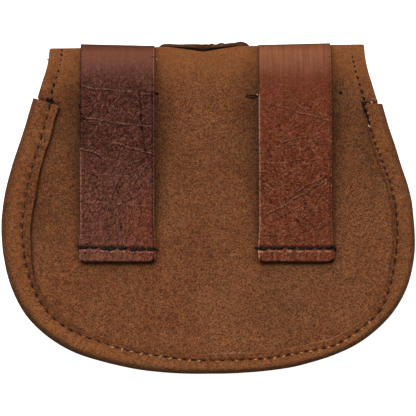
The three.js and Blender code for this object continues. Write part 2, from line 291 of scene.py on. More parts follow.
def in_dip(x):
    """1 in the middle of the dip in the top edge, falling to 0 at its ends."""
    return np.clip(1 - np.abs(x - DIP["x"]) / DIP["half"], 0, 1)


def back_top_y(x):
    """The panel's top edge: it slopes, dips in the middle and is pressed down under the loops."""
    level = np.interp(x, [TOP_LEFT[0], TOP_RIGHT[0]], [TOP_LEFT[1], TOP_RIGHT[1]])
    dip = DIP["depth"] * in_dip(x)
    pressed = sum(
        1 - smoothstep(np.abs(x - loop["x"]) - loop["width"] / 2, -LOOP_PRESS["ease"], 0) for loop in LOOPS
    )
    return level - dip - LOOP_PRESS["depth"] * pressed


def back_face_z(x, y):
    """The panel's outer face, which sags a little in the middle and rolls away at the top."""
    sag = SAG["depth"] * np.clip(1 - (x / SAG["half_x"]) ** 2 - ((y - SAG["y"]) / SAG["half_y"]) ** 2, 0, 1)
    roll = ROLL["drop"] * np.clip((y - ROLL["y"]) / ROLL["run"], 0, ROLL["limit"]) ** 2
    return BACK_FACE_Z - sag - roll


def panel_rim(share):
    """The edge of a panel, which lies inside the gusset's fold."""
    bend = rim_at(share)[2]
    return np.column_stack(inset(share, PANEL_IN_FOLD["of_bend"] * bend + PANEL_IN_FOLD["more"]))


def bent_line(start, middle, end, count):
    """Points on a curve from the start to the end, drawn towards the middle."""
    t = np.linspace(0, 1, count)[:, None]
    return (1 - t) ** 2 * start + 2 * t * (1 - t) * middle + t**2 * end


def rounded_corner(corner, before, after):
    """A corner's arc, as its two halves."""
    start, end = (
        corner + TOP_CORNER_RADIUS * (near - corner) / np.linalg.norm(near - corner)
        for near in (before, after)
    )
    arc = bent_line(start, corner, end, 2 * TOP_CORNER_STEPS + 1)
    return arc[: TOP_CORNER_STEPS + 1], arc[TOP_CORNER_STEPS:]


def coons_patch(left, right, bottom, top):
    """A grid of points between four edges; left and right run upwards, bottom and top to the right."""
    v = np.linspace(0, 1, len(left))[:, None, None]
    u = np.linspace(0, 1, len(bottom))[None, :, None]
    sides = (1 - u) * left[:, None] + u * right[:, None]
    ends = (1 - v) * bottom[None] + v * top[None]
    corners = (1 - v) * ((1 - u) * bottom[0] + u * bottom[-1]) + v * ((1 - u) * top[0] + u * top[-1])
    return sides + ends - corners


def panel_side(share_from, share_to, corner):
    """A side of the back panel: up the gusset's edge, then in a hollow curve to the top corner."""
    rim = panel_rim(np.linspace(share_from, share_to, 120))
    sign = np.sign(corner[0])
    lean = math.tan(SIDE_LEAN)
    bare = rim[-1] + [sign * (FLARE_OUT - lean), 1.0]
    turn = np.array([bare[0] - sign * (FLARE_Y - bare[1]) * lean, FLARE_Y])
    above = np.array([corner[0] + sign * SIDE_HOLLOW, (FLARE_Y + corner[1]) / 2])
    return np.vstack([rim, bare, bent_line(turn, above, corner, 16)])


def panel_sides():
    """The back panel's left and right side, each from its lower corner up to its top corner."""
    low_left, low_right = LOWER_CORNER_SHARES
    return panel_side(low_left, 0, TOP_LEFT), panel_side(low_right, 1, TOP_RIGHT)


def under_lap(x, y):
    """1 where the gusset's lap presses the panel down, 0 in from its raw edge and above its two ends."""
    share = np.linspace(0, 1, 401)
    fold_x, fold_y = inset(share, 0)
    seam, lap, _ = rim_at(share)
    covered = np.zeros_like(x)
    for row in range(len(x)):
        off_x = x[row][:, None] - fold_x
        off_y = y[row][:, None] - fold_y
        nearest = np.hypot(off_x, off_y).argmin(axis=1)
        picked = np.arange(len(nearest)), nearest
        along_x, along_y = (np.interp(share[nearest], FOLD_SHARE, FOLD_ALONG[:, axis]) for axis in (0, 1))
        onwards = off_x[picked] * along_x + off_y[picked] * along_y
        inward = off_y[picked] * along_x - off_x[picked] * along_y
        past_right = np.where(nearest == len(share) - 1, onwards - RIGHT_END["slope"] * inward, 0)
        past_end = np.where(nearest == 0, -onwards, past_right)
        flush = smoothstep(share[nearest], *PARED)
        press_from, press_to = (edge["full"] + edge["pared"] * flush for edge in (PRESS_FROM, PRESS_TO))
        pressed = 1 - smoothstep(inward - (seam + lap)[nearest], press_from, press_to)
        covered[row] = pressed * (1 - smoothstep(past_end, 0, PRESS_PAST_END))
    return covered


def back_panel_grid():
    """The panel's outer face: its outline filled with points, pressed down at the rim and the seams."""
    left, right = panel_sides()
    top_x = np.linspace(TOP_LEFT[0], TOP_RIGHT[0], 400)
    top = np.column_stack([top_x, back_top_y(top_x)])
    of_side, of_top = TOP_CORNER_TAKES["side"], TOP_CORNER_TAKES["top"]
    left_up, left_over = rounded_corner(TOP_LEFT, left[-of_side], top[of_top])
    right_over, right_up = rounded_corner(TOP_RIGHT, top[-of_top - 1], right[-of_side])
    left = np.vstack([left[:-of_side], left_up])
    right = np.vstack([right[:-of_side], right_up[::-1]])
    top = np.vstack([left_over, top[of_top:-of_top], right_over])
    bottom = panel_rim(np.linspace(*LOWER_CORNER_SHARES, 200))
    flat = coons_patch(
        evenly(left, PANEL_ROWS), evenly(right, PANEL_ROWS),
        evenly(bottom, PANEL_COLUMNS), evenly(top, PANEL_COLUMNS),
    )
    x, y = flat[..., 0], flat[..., 1]
    z = back_face_z(x, y) + waves(x, y, PANEL_WAVES)
    z -= SEWN_PRESS * under_lap(x, y)
    for edge, sign in ((left, 1), (right, -1)):
        inward = sign * (x - np.interp(y, edge[:, 1], edge[:, 0]))
        for height, at, half, from_y in UPPER_SEAM_SHAPE:
            z += height * hump(inward - at, half) * smoothstep(y, *from_y)
    return np.dstack([x, y, z])


def linear(hex_colour):
    """Linear RGBA from an sRGB hex colour."""
    channels = [int(hex_colour[i : i + 2], 16) / 255 for i in (1, 3, 5)]
    return [*(c / 12.92 if c <= 0.04045 else ((c + 0.055) / 1.055) ** 2.4 for c in channels), 1.0]


def per_mm(size):
    """A texture's scale for features of that size in millimetres, in a scene in metres."""
    return 1 / (size * MM)


def add_node(tree, kind, settings=None, inputs=None):
    """Adds a node. A socket is linked to an input, a node by its first result, and other values are set."""
    node = tree.nodes.new(kind)
    for key, value in (settings or {}).items():
        setattr(node, key, value)
    for key, value in (inputs or {}).items():
        if isinstance(value, bpy.types.Node):
            value = next(output for output in value.outputs if output.enabled)
        if isinstance(value, bpy.types.NodeSocket):
            tree.links.new(value, node.inputs[key])
        else:
            node.inputs[key].default_value = value
    return node


# A colour mix, and its inputs for the two colours
MIX_COLOUR = {"data_type": "RGBA"}
MIX_A, MIX_B = 6, 7


def new_material(name):
    """An empty material and its node tree."""
    material = bpy.data.materials.new(name)
    material.use_nodes = True
    material.node_tree.nodes.clear()
    return material, material.node_tree


FRAYED_FIBRE_AND_HIGHLIGHT = "#bd8654"


def suede_material(name, red, olive, pale, soil_and_shade_tone):
    """Suede split: the nap scatters light, so it has no gloss. It is mottled in soft red and olive clouds,
    with paler tufts where the nap stands up and single fibre ends that catch the light or leave a dark pit.
    It is darker where hands and the belt have rubbed dirt in, and painted darker as shade and shadow beside
    and under the loops, in the seam's groove and on the rim's outer side. It is pale where a cut edge
    frays, with a painted highlight along the lap's raw edge, and pale up the panel's top, where the nap is
    rubbed and a painted highlight stands for the light on its roll. The fibre ends are drawn coarser than
    they are, to show."""
    material, tree = new_material(name)
    place = add_node(tree, "ShaderNodeTexCoord").outputs["Object"]
    handled, frayed, rubbed, laid, tanned = (
        add_node(tree, "ShaderNodeAttribute", {"attribute_name": key}).outputs["Fac"]
        for key in ("handled", "frayed", "rubbed", "laid", "tanned")
    )
    clouds = add_node(tree, "ShaderNodeTexNoise", None, {
        "Vector": place, "Scale": per_mm(24), "Detail": 6.0, "Roughness": 0.68,
    })
    tufts = add_node(tree, "ShaderNodeTexNoise", None, {
        "Vector": place, "Scale": per_mm(3.4), "Detail": 5.0, "Roughness": 0.75, "Distortion": 0.6,
    })
    ends = add_node(tree, "ShaderNodeTexVoronoi", None, {"Vector": place, "Scale": per_mm(0.42)})
    end_tones = add_node(tree, "ShaderNodeSeparateColor", None, {0: ends.outputs["Color"]})
    cloud_share = add_node(tree, "ShaderNodeMapRange", None, {
        "Value": clouds.outputs["Fac"], "From Min": 0.4, "From Max": 0.6, "To Min": 0.1, "To Max": 0.8,
    })
    end_hue = add_node(tree, "ShaderNodeMath", {"operation": "SUBTRACT"}, {0: end_tones.outputs[1], 1: 0.5})
    cloud_hue = add_node(tree, "ShaderNodeMath", {"operation": "ADD"}, {0: cloud_share, 1: tanned})
    hue_share = add_node(tree, "ShaderNodeMath", {"operation": "MULTIPLY_ADD", "use_clamp": True}, {
        0: end_hue, 1: 0.9, 2: cloud_hue,
    })
    tuft_share = add_node(tree, "ShaderNodeMapRange", None, {
        "Value": tufts.outputs["Fac"], "From Min": 0.42, "From Max": 0.72, "To Min": 0.0, "To Max": 0.5,
    })
    end_light = add_node(tree, "ShaderNodeMapRange", None, {
        "Value": end_tones, "To Min": -0.64, "To Max": 0.64,
    })
    ground = add_node(tree, "ShaderNodeMix", MIX_COLOUR, {
        0: hue_share, MIX_A: linear(red), MIX_B: linear(olive),
    })
    tuft_kept = add_node(tree, "ShaderNodeMapRange", None, {"Value": laid, "To Min": 1.0, "To Max": 0.4})
    tuft_shown = add_node(tree, "ShaderNodeMath", {"operation": "MULTIPLY"}, {
        0: tuft_share, 1: tuft_kept,
    })
    flattened = add_node(tree, "ShaderNodeMath", {"operation": "MULTIPLY_ADD"}, {
        0: rubbed, 1: 0.35, 2: tuft_shown,
    })
    tufted = add_node(tree, "ShaderNodeMix", MIX_COLOUR, {
        0: flattened, MIX_A: ground, MIX_B: linear(pale),
    })
    end_off = add_node(tree, "ShaderNodeMath", {"operation": "MULTIPLY_ADD"}, {
        0: end_light, 1: tuft_kept, 2: 1.0,
    })
    napped = add_node(tree, "ShaderNodeVectorMath", {"operation": "SCALE"}, {
        0: tufted, "Scale": end_off,
    })
    soiled_and_shaded = add_node(tree, "ShaderNodeMix", MIX_COLOUR, {
        0: handled, MIX_A: napped, MIX_B: linear(soil_and_shade_tone),
    })
    fringed = add_node(tree, "ShaderNodeMix", MIX_COLOUR, {
        0: frayed, MIX_A: soiled_and_shaded, MIX_B: linear(FRAYED_FIBRE_AND_HIGHLIGHT),
    })
    height = add_node(tree, "ShaderNodeMath", {"operation": "MULTIPLY_ADD"}, {
        0: tufts.outputs["Fac"], 1: 1.2, 2: ends.outputs["Distance"],
    })
    bump = add_node(tree, "ShaderNodeBump", None, {
        "Height": height, "Strength": 0.4, "Distance": 0.4 * MM,
    })
    shader = add_node(tree, "ShaderNodeBsdfPrincipled", None, {
        "Base Color": fringed, "Roughness": 0.95, "Specular IOR Level": 0.08,
        "Normal": bump, "Sheen Weight": 0.04, "Sheen Roughness": 0.6, "Sheen Tint": linear(pale),
    })
    add_node(tree, "ShaderNodeOutputMaterial", None, {"Surface": shader})
    return material


EASED_EDGE = {"width": 0.35, "steps": 2, "from_angle": 60}


def leather_sheet(name, grid, thickness, materials, attributes=None, pared=None):
    """A piece of leather from a grid of points on its outer face, with thickness inwards and eased edges.
    Pared gives the share of the thickness that is cut away from the inside at each point."""
    rows, columns = grid.shape[:2]
    index = np.arange(rows * columns).reshape(rows, columns)
    quads = np.stack([index[:-1, :-1], index[:-1, 1:], index[1:, 1:], index[1:, :-1]], axis=-1)
    mesh = bpy.data.meshes.new(name)
    mesh.from_pydata((grid.reshape(-1, 3) * MM).tolist(), [], quads.reshape(-1, 4).tolist())
    mesh.shade_smooth()
    for key, values in (attributes or {}).items():
        shares = values.ravel().astype(np.float32)
        mesh.attributes.new(key, "FLOAT", "POINT").data.foreach_set("value", shares)
    for material in materials:
        mesh.materials.append(material)
    piece = bpy.data.objects.new(name, mesh)
    bpy.context.scene.collection.objects.link(piece)
    wall = piece.modifiers.new("thickness", "SOLIDIFY")
    wall.thickness = thickness * MM
    wall.offset = -1
    wall.material_offset = len(materials) - 1
    if pared is not None:
        left = piece.vertex_groups.new(name="thickness_left")
        for point, share in enumerate(pared.ravel().tolist()):
            left.add([point], 1 - share, "REPLACE")
        wall.vertex_group = left.name
    edge = piece.modifiers.new("eased_edges", "BEVEL")
    edge.width = EASED_EDGE["width"] * MM
    edge.segments = EASED_EDGE["steps"]
    edge.limit_method = "ANGLE"
    edge.angle_limit = math.radians(EASED_EDGE["from_angle"])
    return piece


# Dirt and painted shade round the loops: rubbed-in dirt with painted shade beside them, most where the belt
# sits, with a thin veil further out; a painted shadow in a line along their pressed-down lower sides; dirt
# and painted shadow in a patch below their ends; and a painted shadow in a line along the ends
BESIDE_DIRT_AND_SHADE = {"left": 0.44, "reach": 2.0, "belt_reach": 6.0, "belt_y": 42, "belt_half": 22}
BESIDE_DIRT_AND_SHADE_Y = {"rise": (-27, -22), "fall": (50, 64)}
VEIL_DIRT_AND_SHADE = {"depth": 0.14, "reach": 16}
PRESSED_SHADE = {"depth": 0.6, "half": 0.7}
PRESSED_SHADE_Y = {"rise": (-25.5, -24), "fall": (2, 16)}
BELOW_DIRT_AND_SHADE = {"depth": 0.34, "reach": 7, "beside": (-3.0, 3.0)}
END_SHADOW = {"half": 0.9, "beside": (-2.0, 0.2)}
RUBBED_SPOTS = [
    # x, y, half width, half height, dirt
    (-72, 18, 15, 34, 0.14),
    (0, 20, 26, 14, 0.11),
    (70, 34, 5, 11, 0.2),
    (75, 13, 5, 14, 0.26),
    (72.5, 25, 3.5, 7, 0.24),
    (18.5, 61, 3.5, 5, 0.24),
    (59.5, 58, 3.5, 6, 0.12),
    (-75, -2, 6, 13, 0.22),
    (-68, 40, 6, 9, 0.1),
    (33, -47, 14, 10, 0.2),
    (0, -35, 30, 9, 0.08),
    (62, -36, 16, 12, 0.06),
]
TANNED_SPOTS = [
    # x, y, half width, half height, olive above 0 and red below
    (30, -41, 25, 20, 0.5),
    (62, -10, 16, 45, 0.35),
    (0, 4, 16, 30, 0.25),
    (0, 64, 24, 16, -0.45),
    (-39, -42, 40, 18, -0.25),
]
PALE_SPOTS = [(16, -59, 22, 4, 0.3)]
# Up the panel's top the nap is rubbed pale and lies flat, and a painted highlight makes it paler still
# where the top rolls towards the light
TOP_RUBBED_AND_LIT_Y = (46, 70)


def spots(grid, rows):
    """Soft oval spots added up, each given by its middle, its half width and height, and its depth."""
    x, y = grid[..., 0], grid[..., 1]
    return sum(
        depth * np.exp(-(((x - middle_x) / half_x) ** 2) - ((y - middle_y) / half_y) ** 2)
        for middle_x, middle_y, half_x, half_y, depth in rows
    )


def handled_share(grid):
    """How much dirt and painted shade lie round the belt loops, and how much dirt lies in single spots."""
    x, y = grid[..., 0], grid[..., 1]
    dirt = np.zeros_like(x)
    for loop in LOOPS:
        beside = np.abs(x - loop["x"]) - loop["width"] / 2
        off = np.clip(beside, 0, None)
        at_belt = hump(y - BESIDE_DIRT_AND_SHADE["belt_y"], BESIDE_DIRT_AND_SHADE["belt_half"])
        reach = BESIDE_DIRT_AND_SHADE["reach"] + BESIDE_DIRT_AND_SHADE["belt_reach"] * at_belt
        depth = np.where(x < loop["x"], BESIDE_DIRT_AND_SHADE["left"], loop["right_dirt"])
        rubbed_in = depth * np.exp(-off / reach) + VEIL_DIRT_AND_SHADE["depth"] * np.exp(-off / VEIL_DIRT_AND_SHADE["reach"])
        # A painted shadow along each strap's pressed-down side, and another along its end
        pressed = PRESSED_SHADE["depth"] * hump(off, PRESSED_SHADE["half"])
        under_end = np.exp(-np.clip(LOOP_END_Y - y, 0, None) / BELOW_DIRT_AND_SHADE["reach"])
        for share in (
            rubbed_in * band(y, **BESIDE_DIRT_AND_SHADE_Y),
            pressed * band(y, **PRESSED_SHADE_Y),
            BELOW_DIRT_AND_SHADE["depth"] * under_end * (1 - smoothstep(beside, *BELOW_DIRT_AND_SHADE["beside"])),
            hump(y - LOOP_END_Y, END_SHADOW["half"]) * (1 - smoothstep(beside, *END_SHADOW["beside"])),
        ):
            dirt = np.maximum(dirt, share)
    return np.clip(dirt + spots(grid, RUBBED_SPOTS), 0, 1)


suede = suede_material("brown_suede", "#653922", "#6f472c", "#8d5730", "#2c1c13")
back_points = back_panel_grid()
up_the_top = smoothstep(back_points[..., 1], *TOP_RUBBED_AND_LIT_Y)
back_panel = leather_sheet("back_panel_suede", back_points, SUEDE, [suede], {
    "handled": handled_share(back_points),
    "rubbed": up_the_top + spots(back_points, PALE_SPOTS),
    "laid": up_the_top,
    "tanned": spots(back_points, TANNED_SPOTS),
})
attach(back_panel, "root")
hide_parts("back_panel")

# Front panel
# A plain piece of the same suede, sewn inside the gusset's front lap. The closed flap hides it, apart from
# a narrow view at the sides.
FRONT_LAP_Z = GRAIN + GAP
FRONT_PANEL_Z = FRONT_LAP_Z + SUEDE + GAP


def front_panel_grid():
    """The panel's outer face, flat and facing down."""
    low_left, low_right = LOWER_CORNER_SHARES
    left = panel_rim(np.linspace(low_left, 0, 90))
    right = panel_rim(np.linspace(low_right, 1, 90))
    bottom = panel_rim(np.linspace(low_left, low_right, 110))
    top = np.linspace(left[-1], right[-1], 110)
    flat = coons_patch(left, right, bottom, top)[:, ::-1]
    return np.dstack([flat, np.full(flat.shape[:2], FRONT_PANEL_Z)])


front_panel = leather_sheet("front_panel_suede", front_panel_grid(), SUEDE, [suede])
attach(front_panel, "root")
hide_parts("front_panel")

# Gusset
# One strip of suede round both sides and the bottom. It is lapped over the back panel and sewn down, swells
# between the seam and the fold, and runs down to a second lap on the front panel.
SEAM_PITCH = [
    # share, from stitch to stitch along the seam
    (0.0, 4.6), (0.35, 4.5), (0.65, 4.1), (0.74, 4.7), (0.8, 4.7), (0.84, 4.1), (0.9, 3.8), (0.92, 3.2),
    (0.96, 2.7), (1.0, 2.7),
]
SEAM_GROOVE = {"depth": 0.6, "at_stitch": 0.2, "half": 0.6}
SEAM_PUCKER = {"depth": 0.2, "half": 2.0}
SEAM_WANDER = [
    # height, width of a swell, seed
    (0.1, 13, 3.1),
]
LAP_WANDER = [
    (0.2, 11, 8.4),
    (0.2, 5, 2.4),
]
RIM_SWELL = 0.9
CREST_IN_FOLD = 0.6
FOLD_DROP = 1.2
FOLD_RUN = [
    # share, how far in from the outermost line the strip starts to turn down
    (0.0, 4.0), (0.18, 4.2), (0.24, 3.0), (0.35, 2.7), (0.45, 2.1), (0.55, 1.7), (0.66, 1.7),
    (0.72, 2.2), (0.80, 2.4), (0.88, 2.8), (1.0, 3.2),
]
EDGE_LIFT = [
    # share, the raw edge above the sewn lap: free and curled up on the left, pressed in elsewhere
    (0.0, 0.1), (0.04, 0.5), (0.2, 0.3), (0.26, -1.4), (1.0, -1.4),
]
EDGE_CURL = 1.5
EDGE_PARED = 0.72
FRONT_LAP = 10.0
WALL_BOW = 2.2
WALL_CREASES = [
    # height, the wall's height in the pattern, width of a crease, seed
    (0.5, 26, 9, 6.6),
    (0.3, 9, 3.5, 1.2),
]
WALL_SOIL = {"top": 0.2, "fade": 0.15}
PUCKERS = [
    # share, spread, depth
    (0.22, 0.016, 1.4),
    (0.30, 0.014, 1.8),
    (0.41, 0.020, 1.0),
    (0.60, 0.020, 1.1),
    (0.70, 0.014, 1.7),
    (0.79, 0.016, 1.3),
]
STRIP_SOIL = [
    # share, dirt on the lap inside the seam
    (0.0, 0.02), (0.05, 0.14), (0.08, 0.24), (0.1, 0.32), (0.13, 0.2), (0.18, 0.18), (0.24, 0.3),
    (0.31, 0.32), (0.36, 0.18), (0.44, 0.24), (0.48, 0.14), (0.56, 0.16), (0.6, 0.1), (0.66, 0.06),
    (0.74, 0.2), (0.8, 0.24), (0.85, 0.32), (0.9, 0.2), (0.93, 0.08), (0.97, 0.14), (1.0, 0.1),
]
SEAM_SOIL_AND_SHADE = [
    # share, dirt and painted shade in the groove of the seam, and in a fine line at its bottom
    (0.0, 0.16, 0.0),
    (0.48, 0.16, 0.0),
    (0.54, 0.06, 0.0),
    (0.68, 0.06, 0.0),
    (0.76, 0.16, 0.1),
    (0.8, 0.16, 0.4),
    (0.92, 0.16, 0.4),
    (0.95, 0.16, 0.0),
    (1.0, 0.16, 0.0),
]
RIM_SOIL_AND_SHADE = [
    # share, dirt and painted shade on the outer side of the rim, where it turns down
    (0.0, 0.2), (0.18, 0.22), (0.24, 0.4), (0.3, 0.4), (0.4, 0.3), (0.5, 0.32), (0.66, 0.3),
    (0.75, 0.16), (0.8, 0.0), (0.9, 0.02), (1.0, 0.05),
]
RIM_RUBBED = [
    # share, how far the crown of the rim is rubbed
    (0.0, 0.24), (0.06, 0.4), (0.16, 0.48), (0.22, 0.88), (0.26, 1.2), (0.3, 1.2), (0.42, 0.88),
    (0.5, 0.48), (0.58, 0.56), (0.64, 0.8), (0.7, 0.48), (0.78, 0.24), (0.94, 0.24), (0.957, 0.64),
    (0.975, 0.16), (1.0, 0.08),
]
RIM_TAN = [
    # share, olive of the rim's outer side, red of the strip inside the seam
    (0.0, 0.0, 0.1),
    (0.1, 0.1, 0.3),
    (0.16, 0.2, 0.4),
    (0.2, 0.8, 0.5),
    (0.3, 0.8, 0.8),
    (0.46, 0.8, 0.9),
    (0.5, 0.4, 0.9),
    (0.6, 0.3, 0.8),
    (0.66, 0.5, 0.6),
    (0.7, 1.0, 0.6),
    (0.8, 1.0, 0.4),
    (0.83, 0.2, 0.3),
    (1.0, 0.1, 0.1),
]
EDGE_FRAY_AND_HIGHLIGHT = [
    # share, pale fibre along the raw edge, and a painted highlight where the edge catches the light
    (0.0, 0.05), (0.49, 0.05), (0.515, 0.35), (0.555, 0.35), (0.575, 0.1), (0.61, 0.25), (0.64, 0.4),
    (0.7, 0.25), (0.74, 0.1), (0.77, 0.0), (1.0, 0.0),
]
RIM_LAID = 0.3
# Where each mark starts and ends: across the rim in millimetres from the fold, or on the lap as shares
# of it past the seam
RIM_SOIL_AND_SHADE_TO = (1.5, 4.0)
RIM_OLIVE_TO = (2.0, 4.5)
STRIP_RED_FROM = (3.5, 5.5)
STRIP_RED = {"rim": 0.35, "more": 0.65, "past": (-0.4, 0.1)}
STRIP_SOIL_PAST = (-0.25, 0.2)
FRAY_PAST = (0.82, 1)
LAID_PAST = (-0.6, 0)
SEAM_SOIL_AND_SHADE_HALF = {"groove": 0.7, "line": 0.3}
RUBBED_CROWN = {"at": 0.65, "half": 0.3}
GUSSET_STATIONS = 640
LAP_STEPS = 30
FOLD_STEPS = 8
WALL_STEPS = 14


def gusset_rim(share):
    """Seam, lap and bend at a share of the fold, with the wander of cutting and sewing by hand."""
    seam, lap, bend = rim_at(share)
    run = share * FOLD_LENGTH
    return seam + waves(run, 0.0, SEAM_WANDER), lap + waves(run, 0.0, LAP_WANDER), bend


def seam_stitches():
    """The share of the fold at each stitch of the gusset's seam."""
    share = np.linspace(0, 1, 4001)
    x, y = inset(share, gusset_rim(share)[0])
    step = np.hypot(np.diff(x), np.diff(y)) / from_table(share[1:], SEAM_PITCH)
    count = np.concatenate([[0], np.cumsum(step)])
    return np.interp(np.arange(0.5, count[-1]), count, share)


STITCH_SHARE = seam_stitches()


def lap_height(distance, share, seam, lap):
    """How far the back lap stands off its flat height, at a distance in from the fold."""
    crest = from_table(share, FOLD_RUN) + CREST_IN_FOLD
    rising = np.clip((seam - distance) / (seam - crest), 0, 1)
    falling = np.clip((crest - distance) / crest, 0, 1)
    height = RIM_SWELL * (np.sin(0.5 * np.pi * rising) * np.cos(0.5 * np.pi * falling)) ** 2
    stitch = np.cos(2 * np.pi * np.interp(share, STITCH_SHARE, np.arange(len(STITCH_SHARE))))
    groove = SEAM_GROOVE["depth"] + SEAM_GROOVE["at_stitch"] * stitch
    height -= groove * hump(distance - seam, SEAM_GROOVE["half"])
    height -= SEAM_PUCKER["depth"] * stitch * hump(distance - seam, SEAM_PUCKER["half"])
    past = np.clip((distance - seam) / lap, 0, 1)
    return height + from_table(share, EDGE_LIFT) * past**EDGE_CURL


def gusset_sheet():
    """The strip's grid of points, and how soiled and shaded, frayed and highlit, rubbed, laid, tanned and
    pared it is at each.
    """
    share = np.linspace(0, 1, GUSSET_STATIONS)
    seam, lap, bend = gusset_rim(share)
    run = from_table(share, FOLD_RUN)
    drop = FOLD_DROP * run
    top = BACK_FACE_Z + GAP + SUEDE
    marks_kept = ("handled", "frayed", "rubbed", "laid", "tanned", "pared")
    columns = {key: [] for key in ("points", *marks_kept)}

    def add_column(distance, z, onwards=0.0, **marks):
        """Adds a line of points along the whole strip, with its marks."""
        x, y = inset(share, distance, onwards)
        columns["points"].append(np.column_stack([x, y, z]))
        for key in marks_kept:
            columns[key].append(np.broadcast_to(marks.get(key, 0.0), share.shape))

    def add_on_back(distance, z):
        """Adds a line on the back lap or the rim, at a distance in from the fold."""
        level_end = distance * RIGHT_END["slope"] * smoothstep(share, RIGHT_END["from"], 1)
        past = (distance - seam) / lap
        strip = from_table(share, STRIP_SOIL) * smoothstep(past, *STRIP_SOIL_PAST)
        groove = from_table(share, SEAM_SOIL_AND_SHADE, 1) * hump(distance - seam, SEAM_SOIL_AND_SHADE_HALF["groove"])
        groove += from_table(share, SEAM_SOIL_AND_SHADE, 2) * hump(distance - seam, SEAM_SOIL_AND_SHADE_HALF["line"])
        outer = from_table(share, RIM_SOIL_AND_SHADE) * (1 - smoothstep(distance, *RIM_SOIL_AND_SHADE_TO))
        olive = from_table(share, RIM_TAN, 1) * (1 - smoothstep(distance, *RIM_OLIVE_TO))
        red = from_table(share, RIM_TAN, 2) * smoothstep(distance, *STRIP_RED_FROM)
        red = red * (STRIP_RED["rim"] + STRIP_RED["more"] * smoothstep(past, *STRIP_RED["past"]))
        crown = hump(distance - RUBBED_CROWN["at"] * seam, RUBBED_CROWN["half"] * seam)
        add_column(
            distance, z + lap_height(distance, share, seam, lap), level_end,
            handled=strip + groove + outer,
            frayed=from_table(share, EDGE_FRAY_AND_HIGHLIGHT) * smoothstep(past, *FRAY_PAST),
            rubbed=from_table(share, RIM_RUBBED) * crown,
            laid=RIM_LAID * (1 - smoothstep(past, *LAID_PAST)),
            tanned=olive - red,
            pared=EDGE_PARED * smoothstep(share, *PARED) * np.clip(past, 0, 1),
        )

    for part in np.linspace(0, 1, LAP_STEPS, endpoint=False):
        add_on_back(seam + lap + (run - seam - lap) * part, top)
    for angle in np.linspace(0, math.pi / 2, FOLD_STEPS, endpoint=False):
        add_on_back(run * (1 - math.sin(angle)), top - drop * (1 - math.cos(angle)))
    puckers = sum(depth * hump(share - at, spread) for at, spread, depth in PUCKERS)
    length = share * FOLD_LENGTH
    for down in np.linspace(0, 1, WALL_STEPS, endpoint=False):
        z = top - drop + (FRONT_LAP_Z + bend - top + drop) * down
        creased = sum(
            height * ripple(length, tall * down, width, seed) for height, tall, width, seed in WALL_CREASES
        )
        bowed = (WALL_BOW + puckers + creased) * math.sin(math.pi * down)
        add_column(bowed, z, handled=WALL_SOIL["top"] - WALL_SOIL["fade"] * down)
    for angle in np.linspace(0, math.pi / 2, FOLD_STEPS, endpoint=False):
        add_column(bend * (1 - math.cos(angle)), FRONT_LAP_Z + bend * (1 - math.sin(angle)))
    for part in np.linspace(0, 1, 4):
        add_column(bend + (FRONT_LAP - bend) * part, np.full_like(share, FRONT_LAP_Z))
    return {key: np.stack(parts, axis=1) for key, parts in columns.items()}


gusset_marks = gusset_sheet()
gusset_points = gusset_marks.pop("points")
gusset_pared = gusset_marks.pop("pared")
gusset = leather_sheet("gusset_suede", gusset_points, SUEDE, [suede], gusset_marks, gusset_pared)
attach(gusset, "root")
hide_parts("gusset")

# Flap
# One piece of smooth red-brown leather, sewn inside the back panel's top edge. It folds over the mouth and
# lies closed over the front, where the bag rests on it.
FLAP_RUN = [
    # half width, y, below the back face
    (75.0, 47.7, 4.6),
    (72.0, 60.0, 4.6),
    (70.2, 66.0, 5.3),
    (69.6, 69.2, 6.7),
    (69.4, 70.7, 9.2),
    (69.4, 70.8, 13.0),
    (69.6, 69.2, 19.5),
    (70.0, 65.2, 26.5),
    (70.6, 59.5, 32.0),
    (71.2, 52.0, 35.0),
    (71.6, 45.0, BACK_FACE_Z - GRAIN / 2),
]
FLAP_SEAM_LIFT = {"from": 61.5, "to": 67.0, "height": 1.85, "from_z": (24, 30)}
FLAP_CREST = [
    # x, how far the fold bulges up past its line, where the dip in the panel's edge leaves it free
    (-25.0, 0.0), (-23.0, 0.7), (-21.4, 2.5), (-19.0, 3.2), (-10.0, 2.7), (-3.0, 2.8), (1.0, 3.0),
    (5.0, 3.2), (9.0, 4.0), (14.5, 4.1), (17.4, 3.4), (19.0, 2.2), (20.6, 0.6), (23.5, 0.0),
]
FLAP_CREST_SWELL = {"z": 26.0, "run": 7.0}
# Fine folds pinched into the crest where it is tightest
FLAP_PINCH = {"width": 2.0, "seed": 7.7, "depth": 0.4, "rise": (-6, 6), "fall": (11, 16)}
FLAP_GAP = {"depth": 3.5, "from_z": (26, 30)}
FLAP_CREASES = {"depth": 0.5, "width": 8, "seed": 4.3, "from_z": (3, 12)}
FLAP_FRONT_HALF = 73.0
FLAP_FRONT_RUN = 60.0
FLAP_SIDE_Y = -6.0
FLAP_END_Y = -46.0
FLAP_ROUNDNESS = 2.6
FLAP_COLUMNS = 150
FLAP_FOLD = {"from_y": 65.0, "from_z": 20.0, "closer": 6.0}
FLAP_RUN_ROWS = 120
FLAP_FRONT_ROWS = 80


def outer_face(y, z, distance):
    """Moves a line in the YZ plane to its left side by a distance."""
    along = np.gradient(np.column_stack([y, z]), axis=0)
    along /= np.linalg.norm(along, axis=1)[:, None]
    return y - along[:, 1] * distance, z + along[:, 0] * distance


def closer_at_sides(count, more):
    """Shares from -1 to 1 across a strip, closer together at its sides."""
    even = np.linspace(-1, 1, count)
    return (1 + more) * even - more * even**3


